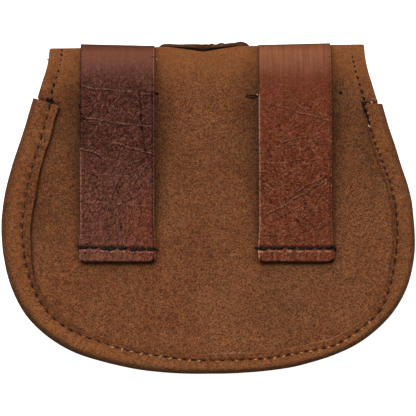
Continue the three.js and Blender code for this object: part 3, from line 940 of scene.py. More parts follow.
def flap_grid():
    """The flap's outer face: from its seam over the fold, down past the mouth and along the front."""
    run = smooth_line([(half, y, BACK_FACE_Z - below) for half, y, below in FLAP_RUN])
    in_fold = (run[1:, 1] > FLAP_FOLD["from_y"]) & (run[1:, 2] > FLAP_FOLD["from_z"])
    run = evenly(run, FLAP_RUN_ROWS, np.where(in_fold, FLAP_FOLD["closer"], 1.0))
    floor = GRAIN / 2
    run[:, 2] = np.maximum(run[:, 2], floor)
    last_half, start_y = run[-1, :2]
    front = np.linspace(0, 1, FLAP_FRONT_ROWS + 1)[1:]
    end = np.concatenate([np.zeros(FLAP_RUN_ROWS), front])[:, None]
    front_half = last_half + (FLAP_FRONT_HALF - last_half) * np.minimum(1, 2 * front)
    half = np.concatenate([run[:, 0], front_half])[:, None]
    line_y = np.concatenate([run[:, 1], start_y - FLAP_FRONT_RUN * front])
    line_z = np.concatenate([run[:, 2], np.full_like(front, floor)])
    y, z = (column[:, None] for column in outer_face(line_y, line_z, floor))
    across = closer_at_sides(FLAP_COLUMNS, more=0.3)
    x = half * across
    rounded = (1 - np.abs(across) ** FLAP_ROUNDNESS) ** (1 / FLAP_ROUNDNESS)
    end_y = FLAP_SIDE_Y + (FLAP_END_Y - FLAP_SIDE_Y) * rounded
    crest = smooth_line(FLAP_CREST)
    pinched = ripple(x, 0.0, FLAP_PINCH["width"], FLAP_PINCH["seed"])
    pinched = pinched * band(x, FLAP_PINCH["rise"], FLAP_PINCH["fall"])
    bulge = np.interp(x, crest[:, 0], crest[:, 1]) * (1 + FLAP_PINCH["depth"] * pinched)
    swell = bulge * hump(FLAP_CREST_SWELL["z"] - z, FLAP_CREST_SWELL["run"])
    folded = FLAP_CREASES["depth"] * ripple(x, z, FLAP_CREASES["width"], FLAP_CREASES["seed"])
    folded = folded * smoothstep(z, *FLAP_CREASES["from_z"])
    sewn = smoothstep(np.abs(x), FLAP_SEAM_LIFT["from"], FLAP_SEAM_LIFT["to"])
    lift = FLAP_SEAM_LIFT["height"] * sewn * smoothstep(z, *FLAP_SEAM_LIFT["from_z"])
    lift = lift - FLAP_GAP["depth"] * in_dip(x) * smoothstep(z, *FLAP_GAP["from_z"])
    y = np.where(end > 0, start_y + (end_y - start_y) * end, y + swell + folded)
    return np.dstack([x, y, z + lift])


WRINKLES = [
    # direction in degrees, length in mm
    (48, 5.0), (-38, 6.0), (8, 4.0), (82, 4.0),
]
WAX_AND_SHADE_STROKES = {"direction": -62, "length": 3.0}
WRINKLE_FROM = 0.6
PEBBLE_SIZE = (0.85, 0.36, 0.5)
# Size of the raised fields in a net of creases, and how softly they rise
NET = {"wide": (3.2, 0.16), "fine": (1.5, 0.3)}
RED_DYE = "#753722"
EDGE_DYE_AND_SHADE = "#0f0806"


def smooth_leather(name, valley, body, ridge_and_highlight, lip, scuff_and_highlight, wrinkle, wear, net, pebble, lay):
    """Full-grain leather, oiled and worn: a satin surface of small pebbles, each of its own tone, crossed
    by fine wrinkles that show pale on their lips, where the dye has rubbed off and a painted highlight is
    added, and dark in strokes where wax fills them and painted shade is added. The net's creases are
    painted darker as shade. It pulls up paler where it is bent, with a painted highlight where a strap
    bends over its top. The crease tone paints scuffs and highlights pale, and burnish, shade and shadow
    dark. Pebbles and wrinkles are drawn a little coarse, to show.
    The wrinkles' width is in millimetres. Wear, net and pebble say how far the pale lips, the creases and
    the pebbles show, and lay is the direction, in degrees, in which the pebbles are drawn out."""
    material, tree = new_material(name)
    place = add_node(tree, "ShaderNodeTexCoord").outputs["Object"]
    crease, grain, pulled_up_and_lit, streaked, reddened = (
        add_node(tree, "ShaderNodeAttribute", {"attribute_name": key}).outputs["Fac"]
        for key in ("crease", "grain", "pulled_up_and_lit", "streaked", "reddened")
    )

    def shown_between(source, low, high):
        """0 up to a pattern's low value, and 1 from its high value on."""
        return add_node(tree, "ShaderNodeMapRange", {"interpolation_type": "SMOOTHSTEP"}, {
            "Value": source, "From Min": low, "From Max": high, "To Min": 0.0, "To Max": 1.0,
        }).outputs[0]

    def strokes(degrees, length, width, low):
        """Short straight wrinkles in one direction: a noise stretched along it, where it is high."""
        turned = add_node(tree, "ShaderNodeMapping", {"vector_type": "TEXTURE"}, {
            "Vector": place, "Rotation": (0, 0, math.radians(degrees)),
            "Scale": (length * MM, width * MM, length * MM),
        })
        swells = add_node(tree, "ShaderNodeTexNoise", None, {
            "Vector": turned, "Scale": 1.0, "Detail": 1.0, "Roughness": 0.5, "Distortion": 0.5,
        })
        return shown_between(swells.outputs["Fac"], low, low + 0.1)

    bent_place = add_node(tree, "ShaderNodeTexNoise", None, {
        "Vector": place, "Scale": per_mm(2.5), "Detail": 1.0,
    })
    off_place = add_node(tree, "ShaderNodeVectorMath", {"operation": "MULTIPLY_ADD"}, {
        0: bent_place.outputs["Color"], 1: (1.6 * MM, 1.6 * MM, 1.6 * MM), 2: place,
    })
    blotches = add_node(tree, "ShaderNodeTexNoise", None, {
        "Vector": place, "Scale": per_mm(6), "Detail": 3.0, "Roughness": 0.6,
    }).outputs["Fac"]
    drawn_out = add_node(tree, "ShaderNodeMapping", {"vector_type": "TEXTURE"}, {
        "Vector": off_place, "Rotation": (0, 0, math.radians(lay)),
        "Scale": [size * MM for size in PEBBLE_SIZE],
    })
    pebbles = add_node(tree, "ShaderNodeTexVoronoi", None, {"Vector": drawn_out, "Scale": 1.0})
    pebble_tones = add_node(tree, "ShaderNodeSeparateColor", None, {0: pebbles.outputs["Color"]})
    drawn = add_node(tree, "ShaderNodeMapping", None, {
        "Vector": place, "Scale": (per_mm(0.8), per_mm(24), per_mm(24)),
    })
    streaks = add_node(tree, "ShaderNodeTexNoise", None, {
        "Vector": drawn, "Scale": 1.0, "Detail": 2.0, "Roughness": 0.6,
    })

    # Pale lips of the wrinkles, worn dye with a painted highlight, and wax with painted shade in others
    lips = None
    for degrees, length in WRINKLES:
        line = strokes(degrees, length, wrinkle, WRINKLE_FROM)
        if lips is None:
            lips = line
        else:
            lips = add_node(tree, "ShaderNodeMath", {"operation": "MAXIMUM"}, {0: lips, 1: line}).outputs[0]
    lips_worn = add_node(tree, "ShaderNodeMath", {"operation": "MULTIPLY"}, {0: lips, 1: wear})
    lips_shown = add_node(tree, "ShaderNodeMath", {"operation": "MULTIPLY"}, {0: lips_worn, 1: grain})
    wax_and_shade = strokes(WAX_AND_SHADE_STROKES["direction"], WAX_AND_SHADE_STROKES["length"], wrinkle, WRINKLE_FROM)
    wax_and_shade_shown = add_node(tree, "ShaderNodeMath", {"operation": "MULTIPLY"}, {0: wax_and_shade, 1: grain})

    # A net of creases about small raised fields, and a finer one within it: its creases are painted darker
    # as shade
    def fields(size, soft):
        """1 on the raised fields, 0 in the creases between them."""
        cells = add_node(tree, "ShaderNodeTexVoronoi", {"feature": "DISTANCE_TO_EDGE"}, {
            "Vector": off_place, "Scale": per_mm(size),
        })
        return shown_between(cells.outputs["Distance"], 0.0, soft)

    raised = add_node(tree, "ShaderNodeMath", {"operation": "MULTIPLY_ADD"}, {
        0: fields(*NET["fine"]), 1: 0.4, 2: fields(*NET["wide"]),
    })
    net_depth = add_node(tree, "ShaderNodeMath", {"operation": "MULTIPLY"}, {0: grain, 1: net})
    net_height = add_node(tree, "ShaderNodeMath", {"operation": "MULTIPLY"}, {
        0: raised, 1: net_depth,
    })
    net_off = add_node(tree, "ShaderNodeMath", {"operation": "SUBTRACT"}, {0: raised, 1: 1.1})
    net_shade = add_node(tree, "ShaderNodeMath", {"operation": "MULTIPLY"}, {
        0: net_off, 1: net_depth,
    })

    # Colour: dye, pulled up where bent with a painted highlight on the top bend, rubbed off the lips with a
    # painted highlight, painted shade in wax strokes and the net's creases, the crease tone's scuffs and
    # painted highlights, its burnish, painted shade and shadow, and each pebble's own tone
    tone = add_node(tree, "ShaderNodeMapRange", None, {
        "Value": blotches, "From Min": 0.4, "From Max": 0.68, "To Min": 0.05, "To Max": 0.4,
    })
    dyed = add_node(tree, "ShaderNodeMix", MIX_COLOUR, {
        0: tone, MIX_A: linear(body), MIX_B: linear(valley),
    })
    pulled_up_and_lit_tone = add_node(tree, "ShaderNodeMix", MIX_COLOUR, {0: pulled_up_and_lit, MIX_A: dyed, MIX_B: linear(ridge_and_highlight)})
    warmed = add_node(tree, "ShaderNodeMix", MIX_COLOUR, {0: reddened, MIX_A: pulled_up_and_lit_tone, MIX_B: linear(RED_DYE)})
    wrinkled = add_node(tree, "ShaderNodeMix", MIX_COLOUR, {
        0: lips_shown, MIX_A: warmed, MIX_B: linear(lip),
    })
    scuff_and_highlight_share, burnish_and_shade_share = (
        add_node(tree, "ShaderNodeMath", {"operation": "MULTIPLY", "use_clamp": True}, {0: crease, 1: sign})
        for sign in (1.0, -1.0)
    )
    scuffed_and_highlit = add_node(tree, "ShaderNodeMix", MIX_COLOUR, {
        0: scuff_and_highlight_share, MIX_A: wrinkled, MIX_B: linear(scuff_and_highlight),
    })
    pebble_off = add_node(tree, "ShaderNodeMath", {"operation": "SUBTRACT"}, {0: pebble_tones, 1: 0.5})
    pebble_shown = add_node(tree, "ShaderNodeMath", {"operation": "MULTIPLY"}, {0: pebble_off, 1: grain})
    pebble_light = add_node(tree, "ShaderNodeMath", {"operation": "MULTIPLY_ADD"}, {
        0: pebble_shown, 1: pebble, 2: 1.0,
    })
    net_shade_and_pebble_light = add_node(tree, "ShaderNodeMath", {"operation": "MULTIPLY_ADD"}, {
        0: net_shade, 1: 0.2, 2: pebble_light,
    })
    wax_and_shade_light = add_node(tree, "ShaderNodeMath", {"operation": "MULTIPLY_ADD"}, {
        0: wax_and_shade_shown, 1: -0.4, 2: net_shade_and_pebble_light,
    })
    streak_off = add_node(tree, "ShaderNodeMath", {"operation": "SUBTRACT"}, {0: streaks, 1: 0.5})
    streak_shown = add_node(tree, "ShaderNodeMath", {"operation": "MULTIPLY"}, {0: streak_off, 1: streaked})
    light = add_node(tree, "ShaderNodeMath", {"operation": "MULTIPLY_ADD"}, {
        0: streak_shown, 1: 2.2, 2: wax_and_shade_light,
    })
    lit = add_node(tree, "ShaderNodeVectorMath", {"operation": "SCALE"}, {
        0: scuffed_and_highlit, "Scale": light,
    })
    burnished_and_shaded = add_node(tree, "ShaderNodeMix", MIX_COLOUR, {
        0: burnish_and_shade_share, MIX_A: lit, MIX_B: linear(EDGE_DYE_AND_SHADE),
    })
    gloss = add_node(tree, "ShaderNodeMapRange", None, {
        "Value": blotches, "From Min": 0.3, "From Max": 0.7, "To Min": 0.34, "To Max": 0.46,
    })
    matt = add_node(tree, "ShaderNodeMath", {"operation": "MULTIPLY_ADD"}, {
        0: burnish_and_shade_share, 1: 0.5, 2: gloss,
    })
    relief = add_node(tree, "ShaderNodeMath", {"operation": "SUBTRACT"}, {
        0: lips_shown, 1: wax_and_shade_shown,
    })
    domed = add_node(tree, "ShaderNodeMath", {"operation": "MULTIPLY_ADD"}, {
        0: pebble_shown, 1: 0.5, 2: relief,
    })
    embossed = add_node(tree, "ShaderNodeMath", {"operation": "MULTIPLY_ADD"}, {
        0: net_height, 1: 3.0, 2: domed,
    })
    bump = add_node(tree, "ShaderNodeBump", None, {
        "Height": embossed, "Strength": 0.8, "Distance": 0.12 * MM,
    })
    shader = add_node(tree, "ShaderNodeBsdfPrincipled", None, {
        "Base Color": burnished_and_shaded, "Roughness": matt, "Specular IOR Level": 0.05,
        "Normal": bump,
    })
    add_node(tree, "ShaderNodeOutputMaterial", None, {"Surface": shader})
    return material


# The shadow in the gap between the panel's top edge and the flap, which is widest in the dip
GAP_SHADE = {"least": 0.55, "more": 1.55, "ease": (-0.15, 0.2), "from_z": (25, 27), "to_x": (19, 23)}
FLAP_GRAIN = 0.6
FLAP_PULL = {"most": 0.2, "from_z": (8, 20)}
FLAP_STREAKS = 0.2
# These colours are darker than the straps' leathers: they paint the shade that the fold lies in under the
# panel's edge
flap_leather = smooth_leather(
    "brown_smooth_leather", valley="#331a0d", body="#4a2817", ridge_and_highlight="#5f3821", lip="#6d4630",
    scuff_and_highlight="#7c5238", wrinkle=0.8, wear=0.5, net=0.4, pebble=0.8, lay=0,
)
flesh_side = suede_material("leather_flesh_side", "#57341f", "#65452f", "#7d573d", "#2c1c13")
flap_points = flap_grid()
flap_x, flap_y, flap_z = (flap_points[..., axis] for axis in range(3))
above_edge = flap_y - back_top_y(flap_x)
gap_width = GAP_SHADE["least"] + GAP_SHADE["more"] * in_dip(flap_x)
in_gap = 1 - smoothstep(above_edge, *(gap_width + ease for ease in GAP_SHADE["ease"]))
in_gap = in_gap * smoothstep(flap_z, *GAP_SHADE["from_z"])
in_gap = in_gap * (1 - smoothstep(np.abs(flap_x - DIP["x"]), *GAP_SHADE["to_x"]))
flap = leather_sheet("flap_leather", flap_points, GRAIN, [flap_leather, flesh_side], {
    "grain": np.full_like(flap_x, FLAP_GRAIN),
    "pulled_up_and_lit": FLAP_PULL["most"] * smoothstep(flap_z, *FLAP_PULL["from_z"]),
    "streaked": np.full_like(flap_x, FLAP_STREAKS),
    "reddened": np.zeros_like(flap_x),
    # The dark side of the crease tone here is the gap's painted shadow
    "crease": -in_gap,
})
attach(flap, "root")
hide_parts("flap")

# Belt loops
# Two straps of smooth leather, sewn across their lower ends, bowed off the panel for the belt, and folded
# over the panel's top edge to be sewn inside. The left one is darker and coarser than the right one.
LOOP_SPREAD = {"more": 1.4, "half": 7}
LOOP_SEAM_Y = -18.2
LOOP_SEAM_PITCH = 4.3
LOOP_END_RADIUS = 1.4
LOOP_INNER_END_Y = 47.7
LOOP_TUCK = 0.15
LOOP_ROWS = (440, 40)
LOOP_COLUMNS = 80
LOOP_SLANT_Y = (40, 70)
LOOP_RISE = [
    # y, middle of the strap above the back face
    (LOOP_END_Y, GAP + GRAIN / 2),
    (LOOP_SEAM_Y, GAP + GRAIN / 2),
    (-8, 2.4), (8, 4.8), (26, 6.8), (44, 7.4), (55, 7.0),
]
LOOP_SHOULDER = [
    # y past the panel's top edge, middle of the strap above the back face
    (-8, 5.4), (-2.6, 2.6), (0.5, 0.1),
]
LOOP_OVER_EDGE = [
    # y past the panel's top edge, middle of the strap above the middle of that edge
    (1.4, 0.9), (1.5, -0.4), (1, -1.7),
]
LOOP_INSIDE = (-0.3, -3, -7, -13)
LOOP_PULL_AND_HIGHLIGHT = {
    # y, how pale the strap is: dye pulled up, with a painted highlight on the bend over the top
    "belt_loop_left": [
        (-24, 0.6), (-19, 0.5), (-15, 0.4), (0, 0.42), (12, 0.36), (26, 0.07), (50, 0.0), (54, 0.03),
        (59, 0.14), (62, 0.26), (64.5, 0.35), (67, 0.5), (70, 0.58), (72.5, 0.3),
    ],
    "belt_loop_right": [
        (-24, 0.0), (-19, 0.08), (-14, 0.12), (6, 0.12), (14, 0.03), (56, 0.03), (59, 0.12), (61.5, 0.25),
        (64.5, 0.42), (67, 0.6), (70, 0.8), (73, 0.6),
    ],
}
LOOP_STREAKS = {
    # y, how much the grain is drawn out along the strap
    "belt_loop_left": [(-24, 0.6), (-2, 0.5), (8, 0.2), (56, 0.1), (64, 0.15), (72, 0.15)],
    "belt_loop_right": [(-24, 0.4), (0, 0.2), (54, 0.2), (64, 0.5), (72, 0.5)],
}
LOOP_GRAIN = {
    # y, how far the grain shows: full on the bowed part, little on the smooth bend at the top
    "belt_loop_left": [
        (-24, 0.95), (-12, 0.95), (2, 1.14), (46, 1.14), (54, 1.05), (57, 0.87), (61, 0.575), (65, 0.28),
        (68, 0.15),
    ],
    "belt_loop_right": [
        (-24, 1.08), (-10, 1.1), (2, 1.22), (24, 1.22), (36, 0.95), (42, 0.92), (46.5, 0.82), (53, 0.55),
        (59.5, 0.28), (66, 0.15),
    ],
}
LOOP_CREASES = {
    "belt_loop_left": [
        # from x, from y, to x, to y, bow, depth, width, pale lip (worn dye and painted highlight)
        (-57.5, 54.6, -49.0, 52.6, -0.2, 0.25, 0.48, 0.85),
        (-50.2, 52.8, -32.0, 51.2, 0.2, 0.25, 0.48, 0.9),
        (-30.6, 50.8, -23.8, 50.2, 0.0, 0.25, 0.48, 0.7),
        (-57.5, 40.2, -46.4, 38.4, 0.2, 0.25, 0.48, 0.95),
        (-47.4, 38.6, -33.0, 36.8, -0.2, 0.25, 0.48, 0.95),
        (-31.8, 36.6, -24.1, 36.0, 0.0, 0.25, 0.48, 0.75),
        (-57.2, 25.8, -51.0, 24.6, 0.0, 0.25, 0.5, 0.75),
        (-52.0, 25.0, -45.0, 20.6, 0.3, 0.25, 0.5, 0.75),
        (-42.4, 28.6, -36.6, 27.2, 0.3, 0.25, 0.5, 0.85),
        (-37.8, 27.6, -29.4, 25.2, -0.2, 0.25, 0.5, 1.0),
        (-30.4, 25.4, -23.9, 23.4, 0.0, 0.25, 0.5, 0.9),
        (-56.5, 2.2, -24.1, 0.0, 0.3, 0.2, 0.42, 0.8),
        (-26.8, 19.0, -39.4, 0.4, 0.6, 0.2, 0.5, 0.5),
        (-56.0, 14.2, -31.3, 13.5, 0.3, 0.15, 0.42, 0.6),
        (-57.0, -13.0, -42.5, -13.0, 0.1, 0.15, 0.42, 0.4),
        (-35.2, 2.2, -35.0, -12.6, 0.2, 0.15, 0.5, 0.35),
        (-30.8, 53.4, -29.6, 39.8, 0.2, 0.38, 0.46, 0.15),
        (-29.7, 42.6, -29.3, 34.0, -0.1, 0.36, 0.46, 0.15),
        (-29.5, 37.0, -28.1, 23.6, 0.2, 0.36, 0.46, 0.15),
        (-28.3, 26.4, -25.8, 20.6, 0.2, 0.28, 0.42, 0.2),
        (-37.1, 17.5, -44.8, -3.6, 1.0, 0.25, 0.5, 0.5),
        (-27.5, 22.0, -35.8, 18.4, 0.3, 0.25, 0.5, 0.5),
        (-32.2, 4.8, -42.2, -0.6, 0.3, 0.2, 0.5, 0.4),
        (-51.7, 11.0, -51.9, 2.6, 0.3, 0.16, 0.5, 0.35),
        (-47.2, 9.6, -47.6, 2.4, -0.3, 0.16, 0.5, 0.35),
        (-35.2, 0.4, -35.4, -7.8, 0.2, 0.16, 0.5, 0.4),
        (-30.7, -1.2, -31.0, -7.6, -0.2, 0.16, 0.5, 0.4),
        (-51.2, 0.4, -51.6, -4.0, 0.2, 0.16, 0.5, 0.35),
    ],
    "belt_loop_right": [
        (36.6, 44.3, 42.6, 41.6, -0.3, 0.22, 0.45, 0.4),
        (42.2, 41.9, 48.6, 40.1, 0.2, 0.26, 0.45, 0.6),
        (48.0, 40.5, 55.8, 38.4, -0.2, 0.26, 0.45, 0.7),
        (44.0, 42.8, 55.6, 40.0, 0.4, 0.2, 0.4, 0.4),
        (53.4, 14.0, 46.5, 10.6, -0.3, 0.28, 0.5, 0.6),
        (46.9, 10.9, 41.2, 7.0, 0.3, 0.28, 0.5, 0.6),
        (41.8, 7.4, 33.0, 3.1, -0.5, 0.24, 0.45, 0.5),
        (55.6, 12.6, 46.4, 7.8, 0.4, 0.3, 0.5, 0.7),
        (46.9, 8.2, 41.2, 4.8, -0.3, 0.3, 0.5, 0.7),
        (41.6, 5.1, 36.6, 1.8, 0.3, 0.3, 0.5, 0.7),
        (37.0, 2.2, 27.0, -2.6, -0.4, 0.26, 0.5, 0.6),
        (41.9, 24.7, 48.6, 28.8, 0.3, 0.16, 0.4, 0.4),
        (24.4, 19.8, 37.4, 20.4, -0.4, 0.18, 0.42, 0.5),
        (36.6, 20.2, 45.2, 22.2, 0.3, 0.18, 0.42, 0.5),
        (39.9, 21.4, 40.4, 15.4, 0.2, 0.14, 0.4, 0.4),
        (30.6, 34.4, 36.2, 30.6, 0.2, 0.14, 0.4, 0.4),
        (29.0, 45.8, 37.4, 43.6, 0.2, 0.18, 0.42, 0.4),
        (46.0, 3.6, 26.0, -7.6, -0.6, 0.2, 0.45, 0.4),
        (33.0, 29.0, 46.0, 31.4, 0.5, 0.2, 0.45, 0.45),
        (46.0, 31.4, 55.0, 34.6, 0.3, 0.2, 0.45, 0.5),
        (24.4, 18.0, 34.0, 12.6, 0.4, 0.2, 0.45, 0.4),
        (24.4, 12.4, 32.0, 8.0, 0.3, 0.2, 0.45, 0.4),
        (36.0, -1.0, 43.0, -10.0, 0.6, 0.2, 0.5, 0.4),
        (23.6, -12.6, 32.6, -12.8, 0.0, 0.22, 0.4, 0.3),
    ],
}
CREASE_WANDER = {"depth": 0.35, "width": 4, "seed_step": 31}
CREASE_ENDS = {"rise": (-0.02, 0.12), "fall": (0.88, 1.02)}
CREASE_BREAKS = {"mean": 0.85, "swing": 0.8, "width": 5, "least": 0.4}
CREASE_LIP = {"height": 0.6, "width": 0.6}
CREASE_SHADE = 1.6
# The leather between the creases is a little wavy, apart from where it is sewn down and bent over
LOOP_WAVES = [
    # height, width of a swell, seed
    (0.25, 14, 9.1),
    (0.1, 5, 3.3),
]
LOOP_WAVES_FROM = (2, 8)
LOOP_BEND_Y = 68
# The stitches draw the strap down in scallops, and its free end below them curls up, but for its rim
SEAM_DRAW = {"depth": 0.7, "half": 0.9}
SCALLOPS = {"height": 0.4, "above": 1.5, "below": -1.7, "half": 0.9}
END_CURL = {"up": 0.5, "to_seam": -1, "rim": 0.9, "rim_to": 1.0}
SIDE_DROOP = {"depth": 0.35, "power": 6}
TAB_FLARE = (-1.2, 0.4)
# Tone: a painted highlight along the left edge and on the scallops' lips; burnished dark along the cut
# edges, with painted shade along the right edge and a painted shadow at the end; painted shade in the
# seam's groove and on the bend over the top
EDGE_Y = (52, 62)
PALE_EDGE_HIGHLIGHT = {"depth": 0.6, "to": (0.3, 0.8)}
BARE_EDGE_TO = (0.2, 0.4)
RIGHT_LINE = {"in": 0.8, "half": 0.35}
LEFT_DARK = {"depth": 0.7, "to": (0.2, 0.7)}
END_BURNISH_AND_SHADOW = {"radius": 2.6, "depth": 0.85, "to": (0.5, 1.4), "end": (1.4, 2.8)}
SEAM_SHADE = {"depth": 0.45, "half": 0.7}
SCALLOP_HIGHLIGHTS = {"depth": 0.5, "below": -1.3, "half": 0.45}
TOP_SHADE = {"depth": 0.5, "above": 2.0, "ease": 0.7}
RED_END = {"share": (0.0, 0.9), "y": (-8, 14)}


def loop_line(loop):
    """The middle of a strap in the YZ plane: up the bag, over the panel's top edge and back inside."""
    top = loop["top"]
    tucked = SUEDE + GAP + GRAIN / 2 + LOOP_TUCK
    edge = float(back_face_z(TOP_LEFT[0], top)) - BACK_FACE_Z - SUEDE / 2
    shoulder = [(top + past, above) for past, above in LOOP_SHOULDER]
    over = [(top + past, edge + above) for past, above in LOOP_OVER_EDGE]
    inside = [
        (y, float(back_face_z(TOP_LEFT[0], y)) - BACK_FACE_Z - tucked)
        for y in (*(top + past for past in LOOP_INSIDE), LOOP_INNER_END_Y)
    ]
    line = smooth_line([*LOOP_RISE, *shoulder, *over, *inside])
    turn = line[:, 0].argmax()
    outer_rows, inner_rows = LOOP_ROWS
    return np.vstack([evenly(line[: turn + 1], outer_rows), evenly(line[turn:], inner_rows + 1)[1:]])


def creases_on(x, y, creases):
    """Height and tone of valleys along slightly bowed lines: dark in the valley as painted shade, pale on
    the lip above as worn dye with a painted highlight.
    """
    height = np.zeros_like(x)
    tone = np.zeros_like(x)
    for from_x, from_y, to_x, to_y, bow, depth, width, pale in creases:
        run_x, run_y = to_x - from_x, to_y - from_y
        length = math.hypot(run_x, run_y)
        t = ((x - from_x) * run_x + (y - from_y) * run_y) / length**2
        side = ((y - from_y) * run_x - (x - from_x) * run_y) / length
        wander = ripple(x, y, CREASE_WANDER["width"], depth * CREASE_WANDER["seed_step"] + from_y)
        side = side * math.copysign(1, run_x) - bow * 4 * t * (1 - t) - CREASE_WANDER["depth"] * wander
        ends = band(t, **CREASE_ENDS)
        breaks = CREASE_BREAKS["swing"] * ripple(length * t, 0.0, CREASE_BREAKS["width"], from_y)
        broken = np.clip(CREASE_BREAKS["mean"] + breaks, CREASE_BREAKS["least"], 1)
        valley = hump(side, width) * ends
        lip = hump(side - width, CREASE_LIP["width"] * width) * ends
        height += depth * (CREASE_LIP["height"] * lip - valley)
        tone += pale * broken * lip - min(1, CREASE_SHADE * depth) * valley
    return height, tone


def edge_tone(loop, y, from_left, from_right):
    """How pale, above 0, or dark, below 0, a strap is along its cut sides and its lower end: pale from a
    bare edge and a painted highlight on the left side, dark from burnish, with painted shade along the
    right side and a painted shadow at the end.
    """
    upper = smoothstep(y, *loop["pale_to"])
    pale = PALE_EDGE_HIGHLIGHT["depth"] * (1 - smoothstep(from_left, *PALE_EDGE_HIGHLIGHT["to"])) * (1 - upper)
    pale += loop["bare_edge"] * (1 + smoothstep(y, *EDGE_Y)) * (1 - smoothstep(from_right, *BARE_EDGE_TO))
    dark = np.interp(y, EDGE_Y, loop["dark_edge"]) * hump(from_right - RIGHT_LINE["in"], RIGHT_LINE["half"])
    dark += LEFT_DARK["depth"] * (1 - smoothstep(from_left, *LEFT_DARK["to"])) * upper
    radius = END_BURNISH_AND_SHADOW["radius"]
    inside_end = np.clip(y - LOOP_END_Y, 0, radius)
    inside_side = np.clip(np.minimum(from_left, from_right), 0, radius)
    from_rounding = radius - np.hypot(radius - inside_end, radius - inside_side)
    near_end = 1 - smoothstep(y - LOOP_END_Y, *END_BURNISH_AND_SHADOW["end"])
    return pale - dark - END_BURNISH_AND_SHADOW["depth"] * (1 - smoothstep(from_rounding, *END_BURNISH_AND_SHADOW["to"])) * near_end


def belt_loop(loop, material):
    """A strap as one sheet: its middle line widened, drawn down by its seam, creased and worn, with painted
    highlights and shade on its creases, edges, seam, end and top bend.
    """
    line = loop_line(loop)
    on_back = line[:, 1:] > 0
    y, height = (column[:, None] for column in outer_face(line[:, 0], line[:, 1], GRAIN / 2))
    seam_near = hump(line[:, :1] - LOOP_SEAM_Y, LOOP_SPREAD["half"]) * on_back
    half = (loop["width"] + LOOP_SPREAD["more"] * seam_near) / 2
    from_end = np.clip((y - LOOP_END_Y) / LOOP_END_RADIUS, 0, 1)
    half = half - np.where(on_back, LOOP_END_RADIUS * (1 - np.sqrt(1 - (1 - from_end) ** 2)), 0)
    share = closer_at_sides(LOOP_COLUMNS, more=0.2)
    from_left, from_right = half * (1 + share), half * (1 - share)
    # The free end below the seam is a little wider on one side
    flare = loop["tab_flare"] * (1 - smoothstep(y - LOOP_SEAM_Y, *TAB_FLARE)) * on_back
    across = half * share + flare * smoothstep(share, 0, 1)
    top_shade = 1 - smoothstep(loop["top"] + TOP_SHADE["above"] - y, 0, TOP_SHADE["ease"])
    x = loop["x"] + loop["lean"] * (y - TOP_RIGHT[1] / 2) + across
    y = y + loop["slant"] * smoothstep(y, *LOOP_SLANT_Y) * across
    z = np.where(on_back, back_face_z(x, np.minimum(y, ROLL["y"])), BACK_FACE_Z) + height
    shown = on_back & (y < LOOP_BEND_Y)
    crease, tone = creases_on(x, y, LOOP_CREASES[loop["name"]])
    wavy = waves(x, y, LOOP_WAVES) * smoothstep(y - LOOP_SEAM_Y, *LOOP_WAVES_FROM)
    scallop = np.abs(np.sin(np.pi * (x - loop["x"]) / LOOP_SEAM_PITCH))
    off = y - LOOP_SEAM_Y - loop["seam_slope"] * across
    beside_seam = sum(hump(off - SCALLOPS[side], SCALLOPS["half"]) for side in ("above", "below"))
    seam = SCALLOPS["height"] * scallop * beside_seam - SEAM_DRAW["depth"] * hump(off, SEAM_DRAW["half"])
    curled = END_CURL["up"] * (1 - smoothstep(y, LOOP_END_Y, LOOP_SEAM_Y + END_CURL["to_seam"]))
    curled -= END_CURL["rim"] * (1 - smoothstep(y - LOOP_END_Y, 0, END_CURL["rim_to"]))
    droop = SIDE_DROOP["depth"] * np.abs(share) ** SIDE_DROOP["power"]
    z = z + (crease + seam + curled - droop + wavy) * shown
    # Painted highlight on the scallops' lips, painted shade in the seam's groove and on the bend over the
    # top
    lips = SCALLOP_HIGHLIGHTS["depth"] * scallop * hump(off - SCALLOP_HIGHLIGHTS["below"], SCALLOP_HIGHLIGHTS["half"])
    seam_shade = SEAM_SHADE["depth"] * hump(off, SEAM_SHADE["half"])
    tone = tone + lips - seam_shade + edge_tone(loop, y, from_left, from_right)
    tone = tone * on_back - TOP_SHADE["depth"] * top_shade
    red = smoothstep(share, *RED_END["share"]) * (1 - smoothstep(y, *RED_END["y"]))
    return leather_sheet(loop["name"] + "_leather", np.dstack([x, y, z]), GRAIN, [material, flesh_side], {
        "grain": from_table(y, LOOP_GRAIN[loop["name"]]),
        "pulled_up_and_lit": from_table(y, LOOP_PULL_AND_HIGHLIGHT[loop["name"]]),
        "streaked": from_table(y, LOOP_STREAKS[loop["name"]]),
        "reddened": loop["red_end"] * red,
        "crease": np.clip(tone, -1, 1),
    })


dark_leather = smooth_leather(
    "dark_smooth_leather", valley="#33160e", body="#48241b", ridge_and_highlight="#7f4c38", lip="#784d3e",
    scuff_and_highlight="#936555", wrinkle=0.7, wear=0.45, net=0.7, pebble=1.05, lay=62,
)
red_leather = smooth_leather(
    "red_smooth_leather", valley="#4c1e0e", body="#662f1b", ridge_and_highlight="#845238", lip="#87563f",
    scuff_and_highlight="#ad7a5e", wrinkle=0.6, wear=0.54, net=0.36, pebble=0.95, lay=18,
)
for strap, finish, slot in (
    (LOOPS[0], dark_leather, "dark_smooth_leather"), (LOOPS[1], red_leather, "red_smooth_leather"),
):
    piece = belt_loop(strap, finish)
    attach(piece, "root")
    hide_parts(strap["name"])

# Seams
# Black waxed thread, sewn by hand: a saddle-stitched seam round the gusset's lap, a finer one up each side
# of the back panel's top, and a coarse one across each loop's lower end.
THREAD_SIDES = 6
THREAD_STEPS = 6
STITCH_SCALE = (0.75, 1.15)


